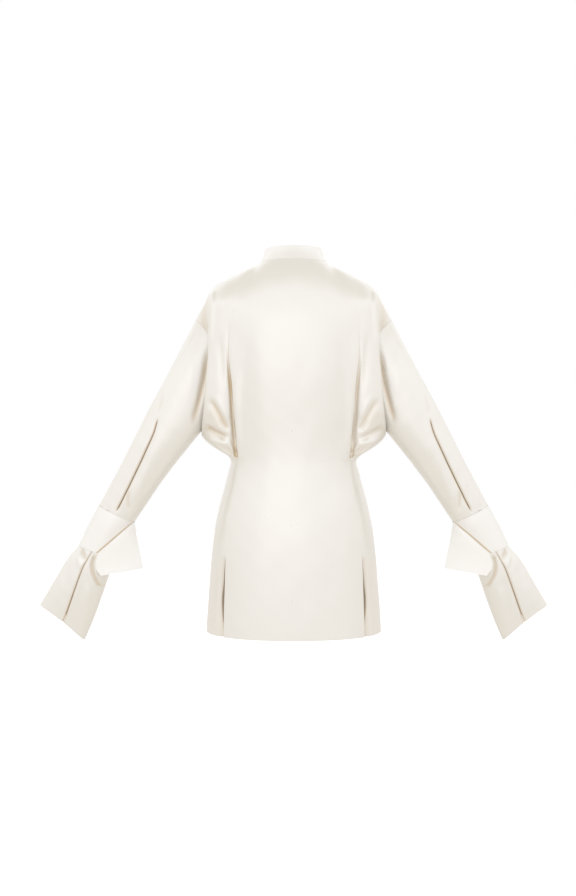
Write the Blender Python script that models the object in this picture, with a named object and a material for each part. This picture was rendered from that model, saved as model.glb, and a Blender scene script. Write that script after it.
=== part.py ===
"""Ivory satin shirt dress, worn and hollow.

Metres, +Z up.  The wearer faces -Y, the wearer's left is +X, and the origin is
the middle of the neck opening at the height where the shoulders carry the dress.
Every cloth piece is one closed wall: a grid of points on the cloth's outer side
and the same points moved in by the cloth's thickness.
"""
import math
from collections import namedtuple

import bmesh
import bpy
import numpy as np

# Cloth and seams
WALL = 0.0018
SEAM_GAP = 0.0003
LAYER_GAP = 0.0003
MERGE_DISTANCE = 1e-6

# Neck and shoulders
NECK_HALF_WIDTH = 0.0765
NECK_BACK = 0.060
NECK_FRONT = 0.078
NECK_FRONT_DROP = 0.068
SHOULDER_TIP_X = 0.182
SHOULDER_TIP_Z = -0.052
ARMHOLE_TOP_X = 0.225
ARMHOLE_TOP_Z = -0.130
SHOULDER_ROWS = 4
NECK_SCOOP = 1.5
SHOULDER_BEND = 1.15
SHOULDER_LEAVE = (1.0, 1.9, 0.4)
SHOULDER_ARRIVE = (0.6, 0.45, 1.3)

# Collar band
COLLAR_HEIGHT = 0.031
COLLAR_LEAN = 0.0125
COLLAR_ROWS = 2

# Body sections from the shoulder blades to the gathered waist, for one side.
# The crest is the front of the bloused side, the edge is its outer fold, and the
# seam is the armhole down to the underarm and the side seam below it.
Section = namedtuple(
    "Section",
    "z back_y front_y fold_x fold_y tuck "
    "crest_x crest_y crest_z edge_x edge_y edge_z seam_x seam_y seam_z",
)
BODY = (
    Section(-0.100, 0.1075, 0.094, 0.1360, 0.083, 0.000, 0.1600, 0.0735, -0.1000,
            0.1830, 0.055, -0.102, 0.2090, 0.017, -0.146),
    Section(-0.130, 0.1130, 0.105, 0.1390, 0.086, 0.000, 0.1630, 0.0760, -0.1300,
            0.1850, 0.058, -0.131, 0.1990, 0.024, -0.156),
    Section(-0.165, 0.116, 0.115, 0.1415, 0.087, 0.001, 0.1660, 0.0775, -0.1650,
            0.1875, 0.0595, -0.165, 0.1890, 0.028, -0.168),
    Section(-0.205, 0.1175, 0.121, 0.1430, 0.088, 0.004, 0.1685, 0.0785, -0.2050,
            0.1910, 0.061, -0.205, 0.1810, 0.030, -0.208),
    Section(-0.245, 0.118, 0.121, 0.1425, 0.088, 0.009, 0.1710, 0.0795, -0.2450,
            0.1950, 0.062, -0.245, 0.1790, 0.030, -0.250),
    Section(-0.285, 0.116, 0.116, 0.1390, 0.087, 0.015, 0.1730, 0.0800, -0.2850,
            0.1985, 0.062, -0.285, 0.1820, 0.027, -0.292),
    Section(-0.325, 0.113, 0.109, 0.1355, 0.085, 0.020, 0.1740, 0.0795, -0.3250,
            0.2020, 0.060, -0.325, 0.1870, 0.020, -0.332),
    Section(-0.360, 0.110, 0.104, 0.1325, 0.082, 0.023, 0.1735, 0.0780, -0.3580,
            0.2050, 0.054, -0.356, 0.1970, 0.010, -0.364),
    Section(-0.390, 0.108, 0.100, 0.1300, 0.078, 0.024, 0.1710, 0.0750, -0.3860,
            0.2060, 0.041, -0.379, 0.2120, 0.000, -0.388),
    Section(-0.418, 0.1065, 0.098, 0.1280, 0.073, 0.022, 0.1660, 0.0720, -0.4120,
            0.2030, 0.034, -0.398, 0.2095, 0.000, -0.397),
    Section(-0.440, 0.1055, 0.097, 0.1265, 0.067, 0.011, 0.1580, 0.066, -0.4335,
            0.1925, 0.034, -0.4125, 0.2030, 0.000, -0.405),
    Section(-0.448, 0.105, 0.0965, 0.1255, 0.0625, 0.003, 0.1470, 0.058, -0.4395,
            0.1720, 0.033, -0.426, 0.1810, 0.000, -0.419),
)
UNDERARM_ROW = SHOULDER_ROWS + 8

# Where the lines of the back panel lie between its centre and its side fold, and
# how deep the soft trough beside that fold is.
PANEL_SHARES = (0.0, 0.33, 0.58, 0.80)
PANEL_SQUARENESS = 2.5
TROUGH_DEPTH = 0.005
TROUGH_TOP_Z = -0.12
TROUGH_FULL_Z = -0.24
TROUGH_FADE_Z = -0.38
TROUGH_END_Z = -0.45
TUCK_LINE_SHARE = 0.20
TUCK_PULL_IN = 0.5
RISE_LINE_SHARE = 0.50
RISE_DROP = 0.15

# Skirt sections from the waist seam to the hem, for one side.
SkirtSection = namedtuple("SkirtSection", "z side_z half_width back_y front_y fold_x")
SKIRT = (
    SkirtSection(-0.453, -0.440, 0.1440, 0.105, 0.096, 0.1250),
    SkirtSection(-0.478, -0.473, 0.1490, 0.107, 0.098, 0.1275),
    SkirtSection(-0.510, -0.508, 0.1570, 0.111, 0.102, 0.1325),
    SkirtSection(-0.550, -0.550, 0.1685, 0.116, 0.106, 0.1395),
    SkirtSection(-0.605, -0.605, 0.1800, 0.121, 0.111, 0.1475),
    SkirtSection(-0.662, -0.662, 0.1875, 0.125, 0.115, 0.1527),
    SkirtSection(-0.720, -0.720, 0.1918, 0.127, 0.118, 0.1540),
    SkirtSection(-0.780, -0.780, 0.1965, 0.129, 0.120, 0.1555),
    SkirtSection(-0.838, -0.838, 0.2000, 0.130, 0.122, 0.1565),
)
SKIRT_SQUARENESS = 2.3
SKIRT_SIDE_SHARES = (0.12, 0.26, 0.50, 0.76, 1.0)
VENT_TOP_ROW = SHOULDER_ROWS + len(BODY) + 5
VENT_OPENING = 0.008
VENT_TUCK_UNDER = 0.006
VENT_CURL_COLUMNS = 3
VENT_SIDE_SHARE = 0.6
VENT_BACK_SHARE = 0.1

# Columns between neighbouring lines: centre, two panel lines, trough, fold, tuck,
# rise, crest, edge, seam.
COLUMN_STEPS = (2, 2, 2, 2, 2, 2, 2, 3, 3)
NECK_COLUMN = 6
FOLD_COLUMN = 8
EDGE_COLUMN = 17

# Centre front
PLACKET_HALF_WIDTH = 0.015
PLACKET_DROP = 0.35
BUTTON_RADIUS = 0.0055
BUTTON_THICKNESS = 0.0024
BUTTON_DISH = 0.0007
BUTTON_FACE_SHARE = 0.90
BUTTON_DISH_SHARE = 0.62
BUTTON_CLEARANCE = 0.0001
BUTTON_SIDES = 12
BUTTON_COUNT = 9
BUTTON_TOP_Z = -0.090
BUTTON_SPACING = 0.085

# Sleeve rings below the armhole: outer and inner edge seen from behind.
SleeveRing = namedtuple("SleeveRing", "outer_x outer_z inner_x inner_z half_depth")
SLEEVE = (
    SleeveRing(0.3335, -0.3382, 0.2210, -0.3960, 0.049),
    SleeveRing(0.3490, -0.3695, 0.2435, -0.4235, 0.048),
    SleeveRing(0.3649, -0.4002, 0.2660, -0.4510, 0.047),
    SleeveRing(0.3800, -0.4306, 0.2870, -0.4787, 0.045),
    SleeveRing(0.3952, -0.4609, 0.3075, -0.5060, 0.043),
    SleeveRing(0.4105, -0.4900, 0.3262, -0.5338, 0.041),
    SleeveRing(0.4259, -0.5192, 0.3443, -0.5612, 0.039),
    SleeveRing(0.4440, -0.5520, 0.3650, -0.5920, 0.037),
)
FAN_SHARES = (0.22, 0.45, 0.66, 0.84)
FAN_FULLNESS = 0.010
FAN_SEAM_DEPTH = 0.02
SLIT_COLUMN = 5
SLIT_TOP_RING = 5
SLIT_TOP_ANGLE = math.radians(59.7)
SLIT_END_ANGLE = math.radians(92.6)
SLIT_BEND = 0.6
SLIT_OPENING = 0.0035
SLIT_END_OPENING = 0.0015

# Lower cuff rings below the band, down to the cuff's hem.
CUFF = (
    SleeveRing(0.5150, -0.6716, 0.4230, -0.7127, 0.0380),
    SleeveRing(0.5370, -0.7060, 0.4400, -0.7620, 0.0370),
    SleeveRing(0.5590, -0.7440, 0.4580, -0.8120, 0.0320),
    SleeveRing(0.5810, -0.7813, 0.4790, -0.8618, 0.0250),
)
CUFF_HEM_RISE = 0.007
CUFF_HALF_COLUMNS = 9
CUFF_SLIT_COLUMN = 4
CUFF_SLIT_RING = 4
CUFF_SLIT_TOP_ANGLE = math.radians(80)
CUFF_SLIT_END_ANGLE = math.radians(95)
CUFF_SLIT_OPENING = 0.004

# Wrapped band, over the top of the cuff, and the wing that stands out of it.
BAND = (
    SleeveRing(0.4450, -0.5522, 0.3645, -0.5926, 0.0385),
    SleeveRing(0.4567, -0.5745, 0.3740, -0.6130, 0.0390),
    SleeveRing(0.4685, -0.5970, 0.3838, -0.6335, 0.0390),
    SleeveRing(0.4800, -0.6195, 0.3936, -0.6540, 0.0390),
    SleeveRing(0.4915, -0.6417, 0.4035, -0.6745, 0.0390),
)
BAND_EASE = 0.0006
BAND_INSET = WALL + LAYER_GAP + BAND_EASE
BAND_EDGE_TOP = 172.0
BAND_EDGE_END = 97.0
WING_TIP = (0.3415, 0.018, -0.6970)
WING_SHOULDER = (0.4460, 0.0400, -0.6930)
WING_FOOT = (0.4350, 0.0415, -0.7105)
WING_STEPS = 5

# Finishes: colour, roughness
SATIN = ((0.905, 0.872, 0.800), 0.32)
FACING = ((0.915, 0.885, 0.820), 0.38)
PEARL = ((0.930, 0.915, 0.880), 0.18)


def clear_scene():
    """Removes every object of the scene that is open."""
    for old in list(bpy.data.objects):
        bpy.data.objects.remove(old, do_unlink=True)


def finish(name, colour, roughness):
    """A plain Principled material."""
    material = bpy.data.materials.new(name)
    material.use_nodes = True
    shader = material.node_tree.nodes["Principled BSDF"]
    shader.inputs["Base Color"].default_value = (*colour, 1.0)
    shader.inputs["Roughness"].default_value = roughness
    shader.inputs["Metallic"].default_value = 0.0
    return material


def blend(start, end, share):
    """The value a share of the way from start to end."""
    return start + (end - start) * share


def smooth_rise(value, low, high):
    """0 at low, 1 at high, with an S-shaped rise between."""
    share = np.clip((value - low) / (high - low), 0.0, 1.0)
    return share * share * (3.0 - 2.0 * share)


def spline(points, steps):
    """Smooth curve through points (first axis), with steps[i] spans after point i."""
    points = np.asarray(points, float)
    chords = np.sqrt(np.linalg.norm(np.diff(points, axis=0), axis=-1))
    knots = np.concatenate([[0.0], np.cumsum(np.maximum(chords, 1e-4))])
    slopes = np.diff(points, axis=0) / np.diff(knots)[:, None]
    tangents = np.empty_like(points)
    tangents[0] = slopes[0]
    tangents[-1] = slopes[-1]
    for i in range(1, len(points) - 1):
        before = knots[i] - knots[i - 1]
        after = knots[i + 1] - knots[i]
        tangents[i] = (slopes[i - 1] * after + slopes[i] * before) / (before + after)
    found = [points[0]]
    for i, count in enumerate(steps):
        span = knots[i + 1] - knots[i]
        for k in range(1, count + 1):
            found.append(
                hermite(points[i], points[i + 1], tangents[i] * span,
                        tangents[i + 1] * span, k / count)
            )
    return np.array(found)


def hermite(start, end, leave, arrive, t):
    """Cubic curve from start to end with the given tangents."""
    return (
        start * (2 * t ** 3 - 3 * t ** 2 + 1)
        + leave * (t ** 3 - 2 * t ** 2 + t)
        + end * (3 * t ** 2 - 2 * t ** 3)
        + arrive * (t ** 3 - t ** 2)
    )


def body_lines(row, centre_y):
    """Points of one body section from its centre to its seam, for the +X side."""
    deeper = centre_y / row.back_y
    fold_y = row.fold_y * deeper
    crest = np.array([row.crest_x, row.crest_y * deeper, row.crest_z])
    fold = np.array([row.fold_x, fold_y, row.z])
    trough = TROUGH_DEPTH * smooth_rise(-row.z, -TROUGH_TOP_Z, -TROUGH_FULL_Z)
    trough *= 1.0 - smooth_rise(-row.z, -TROUGH_FADE_Z, -TROUGH_END_Z)
    lines = []
    for share in PANEL_SHARES:
        y = centre_y - (centre_y - fold_y) * share ** PANEL_SQUARENESS
        if share == PANEL_SHARES[-1]:
            y -= trough
        lines.append((row.fold_x * share, y, row.z))
    lines.append(fold)
    tuck = blend(fold, crest, TUCK_LINE_SHARE)
    tuck += np.array([-TUCK_PULL_IN, -1.0, 0.0]) * row.tuck
    lines.append(tuck)
    rise = blend(fold, crest, RISE_LINE_SHARE)
    rise[1] -= RISE_DROP * row.tuck
    lines.append(rise)
    lines.append(crest)
    lines.append((row.edge_x, row.edge_y * deeper, row.edge_z))
    lines.append((row.seam_x, row.seam_y * deeper, row.seam_z))
    return np.array([np.asarray(p, float) for p in lines])


def skirt_lines(row, centre_y):
    """Points of one skirt section from its centre to its side seam."""
    power = 2.0 / SKIRT_SQUARENESS
    fold_angle = math.asin((row.fold_x / row.half_width) ** (1.0 / power))
    angles = []
    for share in (*PANEL_SHARES, 1.0):
        x_share = share * row.fold_x / row.half_width
        angles.append(math.asin(x_share ** (1.0 / power)))
    for share in SKIRT_SIDE_SHARES:
        angles.append(blend(fold_angle, math.pi / 2, share))
    lines = []
    for angle in angles:
        turned = max(angle - fold_angle, 0.0) / (math.pi / 2 - fold_angle)
        lines.append((
            row.half_width * math.sin(angle) ** power,
            centre_y * max(math.cos(angle), 0.0) ** power,
            blend(row.z, row.side_z, turned),
        ))
    lines[-1] = (row.half_width, 0.0, row.side_z)
    return np.array(lines)


def top_edge(neck_depth, neck_drop):
    """Neckline, shoulder line and dropped shoulder, one point for each column."""
    count = sum(COLUMN_STEPS)
    found = []
    for column in range(count + 1):
        if column <= NECK_COLUMN:
            angle = math.pi / 2 * column / NECK_COLUMN
            drop = neck_drop * math.cos(angle) ** NECK_SCOOP
            found.append((
                NECK_HALF_WIDTH * math.sin(angle),
                neck_depth * math.cos(angle),
                -drop,
            ))
        elif column <= EDGE_COLUMN:
            share = (column - NECK_COLUMN) / (EDGE_COLUMN - NECK_COLUMN)
            found.append((
                blend(NECK_HALF_WIDTH, SHOULDER_TIP_X, share),
                0.0,
                blend(0.0, SHOULDER_TIP_Z, share ** SHOULDER_BEND),
            ))
        else:
            share = (column - EDGE_COLUMN) / (count - EDGE_COLUMN)
            found.append((
                blend(SHOULDER_TIP_X, ARMHOLE_TOP_X, share),
                0.0,
                blend(SHOULDER_TIP_Z, ARMHOLE_TOP_Z, share),
            ))
    return np.array(found)


def body_grid(front):
    """Rows from the shoulder to the hem, columns from the centre to the side."""
    depth = NECK_FRONT if front else NECK_BACK
    top = top_edge(depth, NECK_FRONT_DROP if front else 0.0)
    rows = []
    for row in BODY:
        centre_y = row.front_y if front else row.back_y
        rows.append(spline(body_lines(row, centre_y), COLUMN_STEPS))
    for row in SKIRT:
        centre_y = row.front_y if front else row.back_y
        rows.append(spline(skirt_lines(row, centre_y), COLUMN_STEPS))
    shoulder = []
    step = rows[0] - top
    leave = step * np.array(SHOULDER_LEAVE)
    arrive = step * np.array(SHOULDER_ARRIVE)
    for i in range(SHOULDER_ROWS):
        shoulder.append(hermite(top, rows[0], leave, arrive, i / SHOULDER_ROWS))
    grid = np.array(shoulder + rows)
    grid[:, :, 1] = np.maximum(grid[:, :, 1], 0.0)
    grid[:, :, 1] += SEAM_GAP / 2
    if front:
        grid[:, :, 1] *= -1.0
    return grid


def open_vent(grid):
    """Doubles the fold column and parts its two copies below the vent's top."""
    grid = np.insert(grid, FOLD_COLUMN, grid[:, FOLD_COLUMN], axis=1)
    side = FOLD_COLUMN + 1
    for row in range(VENT_TOP_ROW + 1, len(grid)):
        share = (row - VENT_TOP_ROW) / (len(grid) - 1 - VENT_TOP_ROW)
        for offset in range(VENT_CURL_COLUMNS):
            fade = share * (1.0 - offset / VENT_CURL_COLUMNS)
            aside = VENT_OPENING * VENT_SIDE_SHARE
            grid[row, side + offset, 0] += aside * fade
            grid[row, side + offset, 1] -= (VENT_TUCK_UNDER + aside) * fade
        grid[row, FOLD_COLUMN, 0] -= VENT_OPENING * VENT_BACK_SHARE * share
    return grid


def mirrored(grid):
    """The same grid on the other side, columns still running towards +X."""
    other = grid[:, ::-1].copy()
    other[:, :, 0] *= -1.0
    return other


def wall_mesh(name, grid, missing=(), wall=WALL, outwards=False):
    """Closed wall on a grid of outer points.

    missing holds columns whose strip to the next column is left out.  Points of
    the two sides of such a strip that coincide become one.  With outwards, the
    grid is the inner side and the wall is added outside it.
    """
    rows, columns, _ = grid.shape
    mesh = bmesh.new()
    points = [[mesh.verts.new(grid[r, c]) for c in range(columns)] for r in range(rows)]
    for r in range(rows - 1):
        for c in range(columns - 1):
            if c not in missing:
                mesh.faces.new((points[r][c], points[r][c + 1],
                                points[r + 1][c + 1], points[r + 1][c]))
    bmesh.ops.remove_doubles(mesh, verts=mesh.verts, dist=MERGE_DISTANCE)
    mesh.normal_update()
    shell = list(mesh.verts)
    border = [edge for edge in mesh.edges if edge.is_boundary]
    outer_faces = list(mesh.faces)
    partner = {}
    for point in shell:
        direction = point.normal.copy()
        for axis in (0, 1):
            if point.is_boundary and abs(point.co[axis]) < 2 * SEAM_GAP:
                direction[axis] = 0.0
        direction.normalize()
        shift = direction * (wall if outwards else -wall)
        partner[point] = mesh.verts.new(point.co + shift)
    for face in outer_faces:
        mesh.faces.new([partner[point] for point in reversed(face.verts)])
    for edge in border:
        a, b = edge.verts
        mesh.faces.new((b, a, partner[a], partner[b]))
    bmesh.ops.recalc_face_normals(mesh, faces=mesh.faces)
    bmesh.ops.triangulate(mesh, faces=mesh.faces, quad_method="SHORT_EDGE")
    data = bpy.data.meshes.new(name)
    mesh.to_mesh(data)
    mesh.free()
    return data


def add_node(name, data, material):
    """Puts a mesh into the scene as one named piece."""
    data.materials.append(material)
    piece = bpy.data.objects.new(name, data)
    bpy.context.collection.objects.link(piece)
    return piece


def make_back(material):
    """The back, neck to hem, with its two vents."""
    half = open_vent(body_grid(front=False))
    other = mirrored(half)
    grid = np.concatenate([other, half[:, 1:]], axis=1)
    centre = half.shape[1] - 1
    missing = (centre + FOLD_COLUMN, centre - FOLD_COLUMN - 1)
    add_node("back", wall_mesh("back", grid, missing), material)


def front_half():
    """The +X front, with a column along the placket's edge."""
    grid = body_grid(front=True)
    band_edge = grid[:, 0] + (grid[:, 1] - grid[:, 0]) * (
        PLACKET_HALF_WIDTH / grid[:, 1:2, 0]
    )
    grid = np.insert(grid, 1, band_edge, axis=1)
    grid[:, 0, 0] = SEAM_GAP / 2
    return grid


def make_fronts(material):
    """The two fronts."""
    left = front_half()
    add_node("front_left", wall_mesh("front_left", left[:, ::-1]), material)
    add_node("front_right", wall_mesh("front_right", mirrored(left)[:, ::-1]), material)


def placket_grid():
    """The strip's inner side: the fronts' middle points moved out."""
    left = front_half()[:, :2]
    left[0] = blend(left[0], left[1], PLACKET_DROP)
    grid = np.concatenate([mirrored(left), left], axis=1)
    grid[:, 1, 0] = 0.0
    grid = np.delete(grid, 2, axis=1)
    along = np.gradient(grid[:, 1], axis=0)
    across = grid[:, 2] - grid[:, 0]
    normal = np.cross(along, across)
    normal /= np.linalg.norm(normal, axis=1)[:, None]
    grid += normal[:, None, :] * LAYER_GAP
    return grid


def make_placket(material):
    """The strip that closes the centre front."""
    grid = placket_grid()
    add_node("placket", wall_mesh("placket", grid[:, ::-1], outwards=True), material)


def make_buttons(material):
    """A row of dished round buttons on the placket."""
    centre = placket_grid()[:, 1]
    heights = centre[::-1, 2]
    for number in range(BUTTON_COUNT):
        z = BUTTON_TOP_Z - BUTTON_SPACING * number
        y = np.interp(z, heights, centre[::-1, 1])
        above = np.interp(z + BUTTON_RADIUS, heights, centre[::-1, 1])
        below = np.interp(z - BUTTON_RADIUS, heights, centre[::-1, 1])
        tilt = math.atan2(above - below, 2 * BUTTON_RADIUS)
        foot = y - (WALL + LAYER_GAP) / math.cos(tilt) - BUTTON_CLEARANCE
        name = f"button_{number + 1}"
        add_node(name, button_mesh(name, foot, z, tilt), material)


def button_mesh(name, y, z, tilt):
    """One button: a turned profile, back on the cloth, dish to the front."""
    profile = (
        (0.0, 0.0),
        (BUTTON_RADIUS * BUTTON_FACE_SHARE, 0.0),
        (BUTTON_RADIUS, BUTTON_THICKNESS / 2),
        (BUTTON_RADIUS * BUTTON_FACE_SHARE, BUTTON_THICKNESS),
        (BUTTON_RADIUS * BUTTON_DISH_SHARE, BUTTON_THICKNESS - BUTTON_DISH),
        (0.0, BUTTON_THICKNESS - BUTTON_DISH),
    )
    mesh = bmesh.new()
    points = [mesh.verts.new((r, -h, 0.0)) for r, h in profile]
    edges = [mesh.edges.new(pair) for pair in zip(points, points[1:])]
    bmesh.ops.spin(mesh, geom=points + edges, cent=(0, 0, 0), axis=(0, 1, 0),
                   angle=math.tau, steps=BUTTON_SIDES, use_merge=True)
    bmesh.ops.remove_doubles(mesh, verts=mesh.verts, dist=MERGE_DISTANCE)
    bmesh.ops.recalc_face_normals(mesh, faces=mesh.faces)
    for point in mesh.verts:
        across, out, up = point.co
        point.co = (
            across,
            y + out * math.cos(tilt) + up * math.sin(tilt),
            z - out * math.sin(tilt) + up * math.cos(tilt),
        )
    data = bpy.data.meshes.new(name)
    mesh.to_mesh(data)
    mesh.free()
    return data


def make_collar(material):
    """The band collar, standing on the neckline and open at the centre front."""
    back = top_edge(NECK_BACK, 0.0)[:NECK_COLUMN + 1]
    front = top_edge(NECK_FRONT, NECK_FRONT_DROP)[:NECK_COLUMN + 1]
    front[:, 1] *= -1.0
    left = np.concatenate([front, back[::-1][1:]])
    left = spline(left, [2] * (len(left) - 1))
    left[0, 0] = SEAM_GAP
    ring = np.concatenate([left, (left[:-1] * np.array([-1.0, 1.0, 1.0]))[::-1]])
    rows = []
    for i in range(COLLAR_ROWS + 1):
        share = 1.0 - i / COLLAR_ROWS
        inward = ring * np.array([1.0, 1.0, 0.0])
        inward /= np.linalg.norm(inward, axis=1)[:, None]
        row = ring - inward * COLLAR_LEAN * share
        row[:, 2] += COLLAR_HEIGHT * share + 2 * SEAM_GAP
        row[[0, -1], 0] = ring[[0, -1], 0]
        rows.append(row)
    add_node("collar", wall_mesh("collar", np.array(rows)), material)


def ring_points(ring, angles):
    """Points round one ring; angle 0 is its outer edge, 180 degrees its inner one."""
    outer = np.array([ring.outer_x, 0.0, ring.outer_z])
    inner = np.array([ring.inner_x, 0.0, ring.inner_z])
    middle = (outer + inner) / 2
    reach = (outer - inner) / 2
    depth = np.array([0.0, ring.half_depth, 0.0])
    return np.array([
        middle + reach * math.cos(angle) + depth * math.sin(angle) for angle in angles
    ])


def slit_angles(half_columns, slit_column, slit_angle):
    """Angles round a ring that has a column on its slit, twice at the slit."""
    behind = list(np.linspace(0.0, slit_angle, slit_column + 1))
    behind += list(np.linspace(slit_angle, math.pi, half_columns - slit_column + 1))
    ahead = list(np.linspace(math.pi, math.tau, half_columns + 1))[1:]
    return behind + ahead


def open_slit(grid, column, row, opening):
    """Parts the two copies of a slit's column across one ring."""
    across = grid[row, column + 2] - grid[row, column - 1]
    across /= np.linalg.norm(across)
    grid[row, column] -= across * opening / 2
    grid[row, column + 1] += across * opening / 2


def sleeve_grid():
    """The left sleeve, from the armhole seam to the sleeve's end."""
    half_columns = UNDERARM_ROW
    armhole_back = body_grid(front=False)[:half_columns + 1, -1]
    armhole_front = body_grid(front=True)[:half_columns + 1, -1]
    slit_rings = len(SLEEVE) + len(FAN_SHARES) - SLIT_TOP_RING
    rings = []
    for i, ring in enumerate(SLEEVE):
        share = (i + len(FAN_SHARES) + 1 - SLIT_TOP_RING) / slit_rings
        slit_angle = blend(SLIT_TOP_ANGLE, SLIT_END_ANGLE, max(share, 0.0) ** SLIT_BEND)
        rings.append(ring_points(ring, slit_angles(half_columns, SLIT_COLUMN, slit_angle)))
    seam = np.concatenate([armhole_back, armhole_front[::-1][1:]])
    seam[[0, half_columns, -1], 1] = 0.0
    seam = np.insert(seam, SLIT_COLUMN, seam[SLIT_COLUMN], axis=0)
    first = rings[0]
    step = first - seam
    step /= np.linalg.norm(step, axis=1)[:, None]
    seam = seam + step * 2 * SEAM_GAP
    down_the_seam = (seam[0, 2] - seam[:, 2]) / (seam[0, 2] - seam[half_columns + 1, 2])
    fan = [seam]
    for share in FAN_SHARES:
        row = blend(seam, first, share)
        fullness = FAN_FULLNESS * math.sin(math.pi * share) * (1.0 - down_the_seam)
        row[:, 1] += np.clip(row[:, 1] / FAN_SEAM_DEPTH, -1.0, 1.0) * fullness
        fan.append(row)
    grid = np.array(fan + rings)
    last = len(grid) - 1
    for row in range(SLIT_TOP_RING + 1, last + 1):
        share = (row - SLIT_TOP_RING) / (last - SLIT_TOP_RING)
        opening = SLIT_OPENING * math.sin(math.pi * share) + SLIT_END_OPENING * share
        open_slit(grid, SLIT_COLUMN, row, opening)
    return grid


def inset_ring(ring, inset):
    """The ring of the same place, smaller by inset all round."""
    outer = np.array([ring.outer_x, ring.outer_z])
    inner = np.array([ring.inner_x, ring.inner_z])
    step = (inner - outer) / np.linalg.norm(inner - outer) * inset
    return SleeveRing(*(outer + step), *(inner - step), ring.half_depth - inset)


def cuff_grid():
    """The left lower cuff, with its slit open to the hem."""
    rings = [inset_ring(ring, BAND_INSET) for ring in BAND] + list(CUFF)
    last = len(rings) - 1
    rows = []
    for row, ring in enumerate(rings):
        share = max(row - CUFF_SLIT_RING, 0) / (last - CUFF_SLIT_RING)
        slit_angle = blend(CUFF_SLIT_TOP_ANGLE, CUFF_SLIT_END_ANGLE, share)
        angles = slit_angles(CUFF_HALF_COLUMNS, CUFF_SLIT_COLUMN, slit_angle)
        rows.append(ring_points(ring, angles))
    grid = np.array(rows)
    upwards = grid[-2].mean(axis=0) - grid[-1].mean(axis=0)
    upwards /= np.linalg.norm(upwards)
    grid[-1] += upwards * (np.sin(angles) ** 2 * CUFF_HEM_RISE)[:, None]
    for row in range(CUFF_SLIT_RING + 1, last + 1):
        share = (row - CUFF_SLIT_RING) / (last - CUFF_SLIT_RING)
        open_slit(grid, CUFF_SLIT_COLUMN, row, CUFF_SLIT_OPENING * share)
    return grid


def band_grid():
    """The wrapped band: its edge runs aslant across the back of the wrist."""
    step = 180 // CUFF_HALF_COLUMNS
    around = np.array([-BAND_EDGE_TOP, *range(-180 + step, 180, step), BAND_EDGE_TOP])
    rows = []
    for i, ring in enumerate(BAND):
        edge = blend(BAND_EDGE_TOP, BAND_EDGE_END, i / (len(BAND) - 1))
        angles = np.radians(np.minimum(around, edge))
        rows.append(ring_points(ring, angles))
    return np.array(rows)


def wing_grid():
    """The wing: a stiff sheet from the band's slanting edge to its free tip."""
    roots = [*band_grid()[:, -1], np.array(WING_SHOULDER), np.array(WING_FOOT)]
    corner = roots[0]
    tip = np.array(WING_TIP)
    rows = [[corner + np.array([-2 * SEAM_GAP, 0.0, 0.0])] * (WING_STEPS + 1)]
    for i, root in enumerate(roots[1:], start=1):
        free = blend(corner, tip, i / (len(roots) - 1))
        out = free - root
        root = root + out / np.linalg.norm(out) * 2 * SEAM_GAP
        middle = (root + free) / 2
        middle[1] = root[1]
        row = []
        for k in range(WING_STEPS + 1):
            t = k / WING_STEPS
            row.append(blend(blend(root, middle, t), blend(middle, free, t), t))
        rows.append(row)
    return np.array(rows)


def make_arm(side, satin, facing):
    """Sleeve, lower cuff, band and wing of one arm; side is left or right."""
    pieces = (
        ("sleeve", sleeve_grid(), (SLIT_COLUMN,), satin),
        ("cuff", cuff_grid(), (CUFF_SLIT_COLUMN,), satin),
        ("cuff_band", band_grid(), (), satin),
        ("cuff_wing", wing_grid(), (), facing),
    )
    for name, grid, missing, material in pieces:
        if side == "left":
            grid = grid[:, ::-1]
            missing = [grid.shape[1] - 2 - column for column in missing]
        else:
            grid = grid * np.array([-1.0, 1.0, 1.0])
        node = f"{name}_{side}"
        add_node(node, wall_mesh(node, grid, missing), material)


def main():
    """Builds every piece of the dress."""
    clear_scene()
    satin = finish("satin", *SATIN)
    facing = finish("facing", *FACING)
    pearl = finish("pearl", *PEARL)
    make_back(satin)
    make_fronts(satin)
    make_placket(satin)
    make_collar(satin)
    make_buttons(pearl)
    for side in ("left", "right"):
        make_arm(side, satin, facing)


main()
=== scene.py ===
"""Looks of the ivory satin shirt dress.

Metres, +Z up.  The wearer faces -Y and the wearer's left is +X.  Every cloth
piece is a fine grid on the form of its solid: the same sections, joined by
smooth curves, with the folds of the worn cloth pressed into them.
"""

import logging
import math
from dataclasses import dataclass
from enum import Enum
from functools import partial
from typing import NamedTuple, Sequence

import bmesh
import bpy
import numpy as np
from mathutils import Matrix


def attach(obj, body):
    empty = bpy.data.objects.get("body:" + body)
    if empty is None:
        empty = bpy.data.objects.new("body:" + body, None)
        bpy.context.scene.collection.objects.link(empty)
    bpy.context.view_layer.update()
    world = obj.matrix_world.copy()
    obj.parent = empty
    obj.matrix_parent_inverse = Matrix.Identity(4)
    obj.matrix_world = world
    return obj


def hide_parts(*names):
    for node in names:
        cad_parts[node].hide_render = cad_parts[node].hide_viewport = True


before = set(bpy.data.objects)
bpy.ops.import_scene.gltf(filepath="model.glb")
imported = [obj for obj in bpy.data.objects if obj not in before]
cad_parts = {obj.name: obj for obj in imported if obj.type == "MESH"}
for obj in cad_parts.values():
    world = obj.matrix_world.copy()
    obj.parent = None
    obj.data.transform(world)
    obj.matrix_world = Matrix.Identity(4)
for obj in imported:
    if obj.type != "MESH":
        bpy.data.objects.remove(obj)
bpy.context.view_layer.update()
LOG = logging.getLogger("shirt_dress")

Pair = tuple[float, float]
Triple = tuple[float, float, float]
Numbers = float | np.ndarray
Fed = bpy.types.NodeSocket | float | Triple

# Seams and cloth, in metres
SEAM_GAP = 0.0003
LAYER_GAP = 0.0003
SATIN_THICKNESS = 0.0008
STIFF_THICKNESS = 0.0013
PLACKET_THICKNESS = 0.0018

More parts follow.
